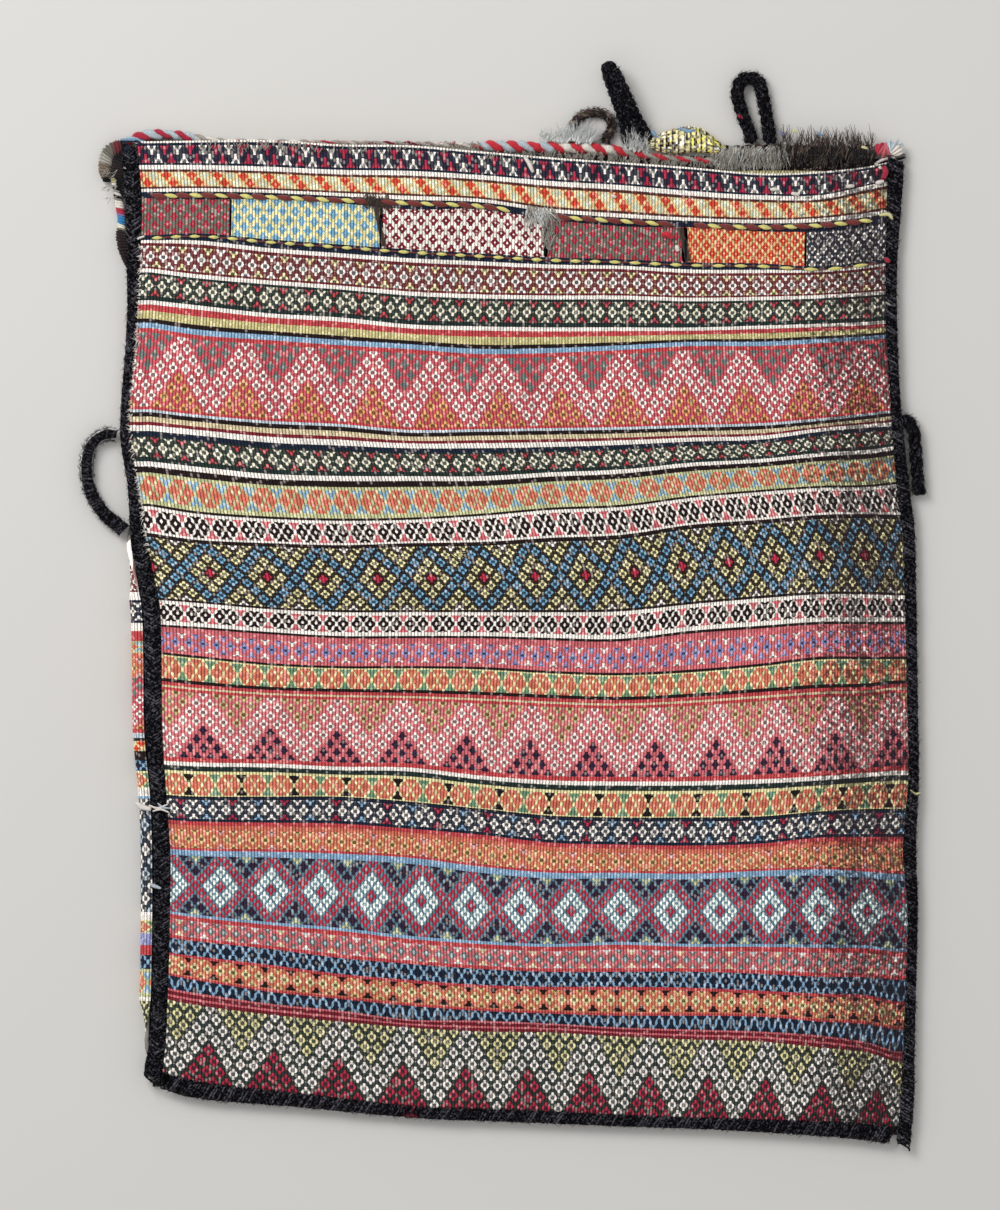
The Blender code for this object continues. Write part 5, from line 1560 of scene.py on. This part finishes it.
class BAG_OT_back_panel(bpy.types.Operator):
    """Weave the back panel, which lies flat and rolls up round the left binding."""

    bl_idname = "bag.back_panel"
    bl_label = "Back panel"

    def execute(self, context):
        sizes = context.scene.bag_sizes
        rows, courses, picks = woven_courses(BACK_BANDS, None, None, 0.0, False)
        rows.append(Row(None, None, 1.0, picks, False))
        columns = cloth_columns()
        total = columns[-1] - columns[0]

        def surface(n, k, side):
            """A point on the panel's outer side, 1, or inner side, -1."""
            share = rows[n].share
            reading = BACK_TOP + (BACK_BOTTOM - BACK_TOP) * share
            angle = left_roll(reading)
            end = roll_end(reading)
            start_x = place_x(seam_centre(LEFT_SEAM, reading)) + end.x + ROLL_RADIUS * math.sin(angle)
            right_x = place_x(seam_centre(RIGHT_SEAM, reading))
            run = (ROLL_RADIUS * angle + right_x - start_x) * (columns[k] - columns[0]) / total
            turn = max(0.0, angle - run / ROLL_RADIUS)
            past = max(0.0, run - ROLL_RADIUS * angle)
            outwards = Vector((-math.sin(turn), 0.0, -math.cos(turn)))
            middle = Vector((start_x + past - ROLL_RADIUS * math.sin(turn), 0.0,
                             BACK_MIDDLE + ROLL_RADIUS * (1 - math.cos(turn))))
            lift = side * CLOTH_THICKNESS / 2
            if side > 0:
                lift += rib_lift(columns[k], sizes.rib_relief) - sizes.rib_relief
            place = middle + outwards * lift
            px = pixel_x(place.x)
            top = back_top(px)
            bottom = place_y(seam_centre(BOTTOM_SEAM, px))
            y = place_y(reading)
            if share < END_SHARE:
                y = top + (y - top) * share / END_SHARE
            if share > 1 - END_SHARE:
                y = bottom + (y - bottom) * (1 - share) / END_SHARE
            place.y = y
            return tuple(place)

        panel = woven_panel("back_panel", bag_dyes(context), rows, courses, columns, surface)
        return {"FINISHED"}


def inside_height(px, py):
    """Height of what lies uppermost at a place: the front panel, the inside of the back one, or the rim."""
    if py > smooth_value(LINE_PAIRS["mouth"], px):
        return front_top(px, py)
    return RIM_CORD if py < smooth_value(RIM_LINE, px) + RIM_DEPTH else CLOTH_THICKNESS + INSIDE_LIFT


def direction(degrees, metres, rise):
    """A lean across the photograph at an angle from its right, with some rise off the floor."""
    angle = math.radians(degrees)
    return Vector((math.cos(angle), math.sin(angle), rise)) * metres


def fuzz(name, places, half_width, half_height, count):
    """Loose goat hairs that lean out of a binding or a loop, along places with its share of the width."""
    chooser = random.Random(name)
    guide = Guide()
    for n in range(count):
        k = chooser.randrange(len(places) - 1)
        at = places[k][0].lerp(places[k + 1][0], chooser.random())
        ahead = (places[k + 1][0] - places[k][0]).normalized()
        turn = chooser.uniform(-HAIR_TURN, math.pi + HAIR_TURN)
        across = Vector((ahead.y, -ahead.x, 0.0)) * math.cos(turn)
        out = (across * half_width + Vector((0.0, 0.0, math.sin(turn) * half_height))) * places[k][1]
        lean = out.normalized() * HAIR_LEAN + ahead * chooser.choice((-1.0, 1.0))
        guide.place(at + out * HAIR_SEAT, lean=lean.normalized() * chooser.uniform(*HAIR_LENGTHS))
    grow(name + "_hairs", leaning_hairs, guide, coarse_goat_hair, "goat_hair", hairs=2, thickness=0.00014,
         spread=0.3, bend=0.0008)


def route_length(route):
    """Length of a route in metres."""
    return sum((b - a).length for a, b in zip(route, route[1:]))


class BAG_OT_loops(bpy.types.Operator):
    """Plait the closure loops, twist the small brown loop and wrap the carrying loops."""

    bl_idname = "bag.loops"
    bl_label = "Loops"

    def execute(self, context):
        dyes = bag_dyes(context)
        closure_height = CLOSURE_CORD / 2 + TOUCH
        edge_on = [(place_x(px), place_y(py), closure_height + (CLOSURE_CORD + TOUCH) * rise)
                   for px, py, rise in LEFT_CLOSURE]
        for name, route in (("left_closure_loop", smooth_route(edge_on, 6)),
                            ("right_closure_loop", flat_route(RIGHT_CLOSURE, closure_height))):
            self.plait(name, route)
        small = flat_route(SMALL_LOOP, SMALL_CORD / 2 + TOUCH)
        guide = Guide(small, yarns=(dyes["brown_hair"], dyes["worn_brown"]))
        cord = grow("small_brown_loop_twist", wound_cord, guide, spun_wool, "brown_hair",
                    "small_brown_loop", plies=2, ply_radius=0.00145, side_swing=0.00125, rise=0.00125,
                    pitch=0.008, unevenness=0.8)
        self.declare(cord, small, SMALL_CORD)
        self.wrap("left_carry_loop", flat_route(LEFT_CARRY, CARRY_CORD / 2 + TOUCH), 0.6, 1.05)
        right = flat_route(RIGHT_CARRY, CARRY_CORD / 2 + TOUCH)
        cord = grow("right_carry_loop_twist", wound_cord, Guide(right), coarse_goat_hair, "goat_hair",
                    "right_carry_loop", plies=3, ply_radius=0.0019, side_swing=0.0021, rise=0.0021,
                    pitch=0.026, unevenness=0.8)
        self.declare(cord, right, TWIST_CORD)
        return {"FINISHED"}

    def plait(self, name, route):
        """A closure loop of three strands of goat hair that cross in turn."""
        cord = grow(name + "_plait", wound_cord, Guide(route), coarse_goat_hair, "goat_hair", name, plies=3,
                    ply_radius=0.0018, side_swing=0.0023, rise=0.0011, pitch=0.015, rises=2.0, lead=0.0,
                    unevenness=0.5)
        self.declare(cord, route, CLOSURE_CORD)

    def wrap(self, name, route, first_share, last_share):
        """A carrying loop of hair wrapped closely round a core."""
        last = len(route) - 1
        guide = Guide(route, [first_share + (last_share - first_share) * (n / last) for n in range(last + 1)])
        cord = grow(name + "_wrap", stitched_binding, guide, coarse_goat_hair, "goat_hair", name, sides=1,
                    half_width=CARRY_CORD / 2 - 0.0003, half_height=CARRY_CORD / 2 - 0.0003,
                    strand_radius=0.0004, spacing=0.0008, slant=0.0016, step=0.002)
        self.declare(cord, route, CARRY_CORD)

    def declare(self, cord, route, diameter):
        """Gives a loop its loose hairs."""
        tuple(route[0])
        route_length(route)
        [tuple(at) for at in route]
        fuzz(cord.name, [(at, 1.0) for at in route], diameter / 2, diameter / 2, len(route) * LOOP_HAIRS)


class BAG_OT_bindings(bpy.types.Operator):
    """Stitch the goat-hair bindings over the three seams, with the hairs that stand off them."""

    bl_idname = "bag.bindings"
    bl_label = "Bindings"

    def execute(self, context):
        self.bind("left_binding", "herringbone", LEFT_SEAM, sides=2, slant=0.0055, last_turn=1.75)
        self.bind("right_binding", "overcast", RIGHT_SEAM, sides=1, slant=0.007)
        self.bind("bottom_binding", "overcast", BOTTOM_SEAM, sides=1, slant=0.007)
        return {"FINISHED"}

    def seam_places(self, seam):
        """Places along a seam with the binding's centre and its share of the full width."""
        first = seam[0][0]
        last = seam[-1][0]
        count = round((last - first) / SEAM_STEP)
        for n in range(count + 1):
            along = first + (last - first) * n / count
            centre = seam_centre(seam, along)
            height = left_seam_height(along) if seam is LEFT_SEAM else SEAM_HEIGHT
            px, py = (along, centre) if seam is BOTTOM_SEAM else (centre, along)
            yield Vector((place_x(px), place_y(py), height)), seam_half_width(seam, along) * 2 / BINDING_WIDTH

    def bind(self, node, kind, seam, **stitch):
        """One binding, with its loose hairs."""
        places = list(self.seam_places(seam))
        guide = Guide(*zip(*places))
        grow(f"{node}_{kind}", stitched_binding, guide, coarse_goat_hair, "goat_hair", node,
             half_width=BINDING_WIDTH / 2 - STRAND, half_height=BINDING_HEIGHT / 2 - STRAND,
             strand_radius=STRAND, **stitch)
        fuzz(f"{node}_{kind}", places, BINDING_WIDTH / 2, BINDING_HEIGHT / 2, len(places) * BINDING_HAIRS)


class BAG_OT_rim(bpy.types.Operator):
    """Twine the cord along the back panel's rim, wrap its corners and swell its yellow band over it."""

    bl_idname = "bag.rim"
    bl_label = "Rim"

    def execute(self, context):
        dyes = bag_dyes(context)
        rim = flat_route(BACK_RIM, RIM_CORD / 2 + TOUCH)
        self.twine("back_rim_cord", rim, dyes, [straight_value(RIM_SHARES, pixel_x(at.x)) for at in rim],
                   ply_radius=0.0021, side_swing=0.0013, rise=0.0013, pitch=0.0125, unevenness=1.4)
        self.wrap("left_corner_wrap", (LEFT_CORNER, LEFT_HOLLOW, LEFT_EDGE), dyes)
        self.wrap("right_corner_wrap", (RIGHT_CORNER,), dyes)
        fringe = flat_route(FRINGE_RIM, HAIR_FRINGE / 2 + TOUCH)
        guide = Guide(fringe, yarns=(dyes["brown_hair"], dyes["goat_hair"]))
        grow("rim_hair_fringe_root", wound_cord, guide, spun_wool, "brown_hair", "rim_hair_fringe", plies=2,
             ply_radius=0.0018, side_swing=0.0012, rise=0.0012, pitch=0.012, unevenness=1.2)
        self.swell(dyes)
        return {"FINISHED"}

    def twine(self, name, route, dyes, shares, **winding):
        """A twined cord with the dyes that the rim has there."""
        yarns = []
        for at in route:
            first, second = [stop[1:] for stop in RIM_YARNS if stop[0] <= pixel_x(at.x)][-1]
            yarns.append((dyes[first], dyes[second]))
        grow(name + "_twine", wound_cord, Guide(route, shares, yarns), spun_wool, "red_wool_cord", name,
             plies=2, **winding)

    def wrap(self, name, stretches, dyes):
        """Yarns of several dyes stitched round a corner of the rim."""
        guide = Guide()
        steps = 6
        for stops in stretches:
            route = smooth_route([(place_x(px), place_y(py), CORNER_CORD / 2 * share + TOUCH)
                                  for px, py, share, yarn in stops], steps)
            shares = [(steps * n, stop[2]) for n, stop in enumerate(stops)]
            guide.line(route, [straight_value(shares, k) for k in range(len(route))],
                       [(dyes[stops[round(k / steps)][3]], None) for k in range(len(route))])
        grow(name + "_stitches", stitched_binding, guide, spun_wool, "red_wool_cord", name, sides=1,
             half_width=CORNER_CORD / 2 - STRAND, half_height=CORNER_CORD / 2 - STRAND,
             strand_radius=STRAND, spacing=0.0016, slant=0.003, step=0.001)

    def swell(self, dyes):
        """The woven yellow band where it bulges over the rim."""
        sides = 28
        rings = 40
        chooser = random.Random(3)
        weave = Weave(dyes)
        places = flat_route(BULGE, BULGE_HEIGHT)
        last = len(places) - 1
        for n in range(rings + 1):
            share = n / rings
            at = share * last
            k = min(int(at), last - 1)
            middle = places[k].lerp(places[k + 1], at - k)
            round_off = math.sin(math.pi * min(max(share, 0.03), 0.97)) ** 0.45
            for m in range(sides):
                turn = math.tau * m / sides
                rough = 1 + 0.12 * noise.noise(Vector((n * 0.4, m * 0.7, 1.0)))
                taller = 1 + 0.25 * math.sin(math.pi * share**1.8) * max(0.0, math.cos(turn))
                weave.point((middle.x, middle.y + BULGE_REACH * round_off * rough * taller * math.cos(turn),
                             middle.z + BULGE_RISE * round_off * rough * math.sin(turn)))
        for n in range(rings):
            for m in range(sides):
                after = (m + 1) % sides
                corners = (n * sides + m, n * sides + after, (n + 1) * sides + after, (n + 1) * sides + m)
                bright = 6 if n > 22 else 0.5
                name = chooser.choices(BULGE_DYES, (4, 5, 2, 4, 3, bright))[0]
                threads = [(u / 3, v / 2) for u, v in ((n, m), (n, m + 1), (n + 1, m + 1), (n + 1, m))]
                weave.face(corners, weave.plain(name), [(0.0, 0.0)] * 4, threads)
        for n in (0, rings):
            ring = tuple(n * sides + m for m in range(sides))
            weave.face(ring, weave.plain("brown"), [(0.0, 0.0)] * sides, [(0.0, 0.0)] * sides)
        bulge = weave.object("back_rim_bulge_weave", shared(bpy.data.materials, warp_faced_wool))
        settle(bulge, "yellow_wool", "back_rim_bulge")


class BAG_OT_slit_trim(bpy.types.Operator):
    """Lay the two-ply cords along the slits, the yellow running stitches and the thread bars."""

    bl_idname = "bag.slit_trim"
    bl_label = "Slit trim"

    def execute(self, context):
        dyes = bag_dyes(context)
        for n, (start, end) in enumerate(SLIT_CORD_SPANS):
            count = int((end - start) / SLIT_CORD_PITCH * 2)
            guide = Guide()
            for k in range(count):
                middle = start + SLIT_CORD_PITCH * (k + 0.5) / 2
                name, reach, share = (("stitch_red", 8.0, 1.0), ("stitch_yellow", 6.5, 0.75))[k % 2]
                self.bead(guide, "slit edge", SLIT_CORD_DROP, middle - reach, middle + reach, 0.0006, share,
                          1.2, dyes[name])
            grow(f"slit_cord_{n + 1}_plies", wound_cord, guide, spun_wool, "red_wool_cord",
                 f"slit_cord_{n + 1}", plies=1, ply_radius=SLIT_CORD / 2 + 0.0002, unevenness=0.5)
        self.stitch(dyes)
        self.bars(dyes)
        return {"FINISHED"}

    def bead(self, guide, line, drop, first, last, lift, share, tilt, yarn):
        """A short length of yarn that shows over the cloth, thick in its middle, under a woven line."""
        route = []
        shares = []
        steps = 6
        for k in range(steps + 1):
            px = first + (last - first) * k / steps
            py = smooth_value(LINE_PAIRS[line], px) + drop + tilt * (2 * k / steps - 1)
            bow = math.sin(math.pi * k / steps)
            route.append((place_x(px), place_y(py), front_top(px, py) + SEAT + lift * bow))
            shares.append(share * (0.3 + 0.7 * bow))
        guide.line(route, shares, (yarn, None))

    def stitch(self, dyes):
        """Yellow stitches over the cloth, with the thin dull thread between them."""
        guide = Guide()
        place = STITCH_SPAN[0]
        while place < STITCH_SPAN[1] - 8:
            worn = smooth_value(((150, 0.0), (600, 0.1), (900, 1.0)), place)
            reach = 10 + 5 * worn
            self.bead(guide, "stitched strip", STITCH_DROP, place, place + reach, 0.0009, 1.0, 0.0,
                      dyes["stitch_yellow"])
            self.bead(guide, "stitched strip", STITCH_DROP, place + reach - 1, place + reach + 10, 0.0002,
                      0.4, 0.0, dyes["stitch_red"])
            place += reach + 9 + 3 * worn
        grow("running_stitch_thread", wound_cord, guide, spun_wool, "yellow_wool", "running_stitch",
             plies=1, ply_radius=0.0011, unevenness=0.5)

    def bars(self, dyes):
        """Dark threads carried down over two of the slits."""
        for n, (px, width) in enumerate((SLITS[1], SLITS[3])):
            top = smooth_value(LINE_PAIRS["slit blocks"], px) + 1
            bottom = smooth_value(LINE_PAIRS["stitched strip"], px) - 1
            route = []
            steps = 8
            for k in range(steps + 1):
                py = top + (bottom - top) * k / steps
                x = place_x(px - steps / 2 + k)
                route.append((x, place_y(py), front_top(px, py) + SEAT + TACK_CORD / 2))
            guide = Guide(route, yarns=(dyes["brown_hair"], dyes["goat_hair"]))
            grow(f"slit_bar_{n + 1}_threads", wound_cord, guide, spun_wool, "brown_hair",
                 f"slit_bar_{n + 1}", plies=3, ply_radius=0.0008, side_swing=0.0008, rise=0.0006,
                 pitch=0.02, unevenness=1.2)


class BAG_OT_loose_ends(bpy.types.Operator):
    """Let the frayed tufts, stray threads and skipped picks stand out of the cloth."""

    bl_idname = "bag.loose_ends"
    bl_label = "Loose ends"

    def execute(self, context):
        dyes = bag_dyes(context)
        chooser = random.Random(5)
        guide = Guide()
        for tuft in TUFTS:
            for n in range(tuft.places):
                px = chooser.uniform(tuft.left, tuft.right)
                py = chooser.uniform(tuft.top, tuft.bottom)
                at = (place_x(px), place_y(py), inside_height(px, py) + 0.0004)
                angle = tuft.angle + chooser.gauss(0, 18)
                lean = direction(angle, tuft.hair * PIXEL * chooser.uniform(0.6, 1.1), 0.12)
                guide.place(at, lean=lean, yarn_a=dyes[tuft.dye])
        for n in range(EDGE_HAIRS):
            py = chooser.uniform(*EDGE_SPAN)
            beside = 8 * smooth_value(SEAM_SHARES[LEFT_SEAM], py) + chooser.uniform(0, 3)
            px = seam_centre(LEFT_SEAM, py) + beside
            lean = direction(180 + chooser.gauss(0, 40), chooser.uniform(0.0015, 0.004), 0.3)
            guide.place((place_x(px), place_y(py), inside_height(px, py)), lean=lean, yarn_a=dyes["ivory"])
        grow("frayed_ends", leaning_hairs, guide, spun_wool, "patterned_wool", hairs=2, thickness=0.0003,
             spread=0.25, bend=0.001)
        guide = Guide()
        for thickness, name, points in SNAGS:
            route = smooth_route([(place_x(px), place_y(py), inside_height(px, py) + thickness * PIXEL / 3)
                                  for px, py in points], 4)
            last = len(route) - 1
            shares = [thickness / 4 * math.sin(math.pi * (0.2 + 0.6 * n / last)) for n in range(last + 1)]
            guide.line(route, shares, (dyes[name], None))
        grow("stray_threads", wound_cord, guide, spun_wool, "patterned_wool", plies=1, ply_radius=0.0011,
             unevenness=0.5)
        return {"FINISHED"}


def back_top(px):
    """Y of the back panel's top edge, just under what finishes its rim."""
    return place_y(smooth_value(RIM_LINE, px)) - RIM_COVER


OPERATORS = (BAG_OT_stage, BAG_OT_loops, BAG_OT_front_panel, BAG_OT_back_panel, BAG_OT_bindings,
             BAG_OT_rim, BAG_OT_slit_trim, BAG_OT_loose_ends)


class BAG_PT_pieces(bpy.types.Panel):
    """Operators and settings of the bag."""

    bl_label = "Storage bag"
    bl_space_type = "VIEW_3D"
    bl_region_type = "UI"
    bl_category = "Storage bag"

    def draw(self, context):
        layout = self.layout
        for operator in OPERATORS:
            layout.operator(operator.bl_idname)
        for group in (context.scene.bag_sizes, context.scene.bag_dyes):
            box = layout.box()
            for name in group.__annotations__:
                box.prop(group, name, text=name.replace("_", " ").capitalize())


CLASSES = (BagDyes, BagSizes, *OPERATORS, BAG_PT_pieces)


def register():
    """Adds the bag's settings, operators and panel."""
    for item in CLASSES:
        bpy.utils.register_class(item)
    bpy.types.Scene.bag_dyes = bpy.props.PointerProperty(type=BagDyes)
    bpy.types.Scene.bag_sizes = bpy.props.PointerProperty(type=BagSizes)


def unregister():
    """Takes them away again."""
    del bpy.types.Scene.bag_sizes
    del bpy.types.Scene.bag_dyes
    for item in reversed(CLASSES):
        bpy.utils.unregister_class(item)


def main():
    """Makes every piece of the bag."""
    register()
    bpy.ops.bag.stage()
    bpy.ops.bag.loops()
    bpy.ops.bag.front_panel()
    bpy.ops.bag.back_panel()
    bpy.ops.bag.bindings()
    bpy.ops.bag.rim()
    bpy.ops.bag.slit_trim()
    bpy.ops.bag.loose_ends()


if __name__ == "__main__":
    main()
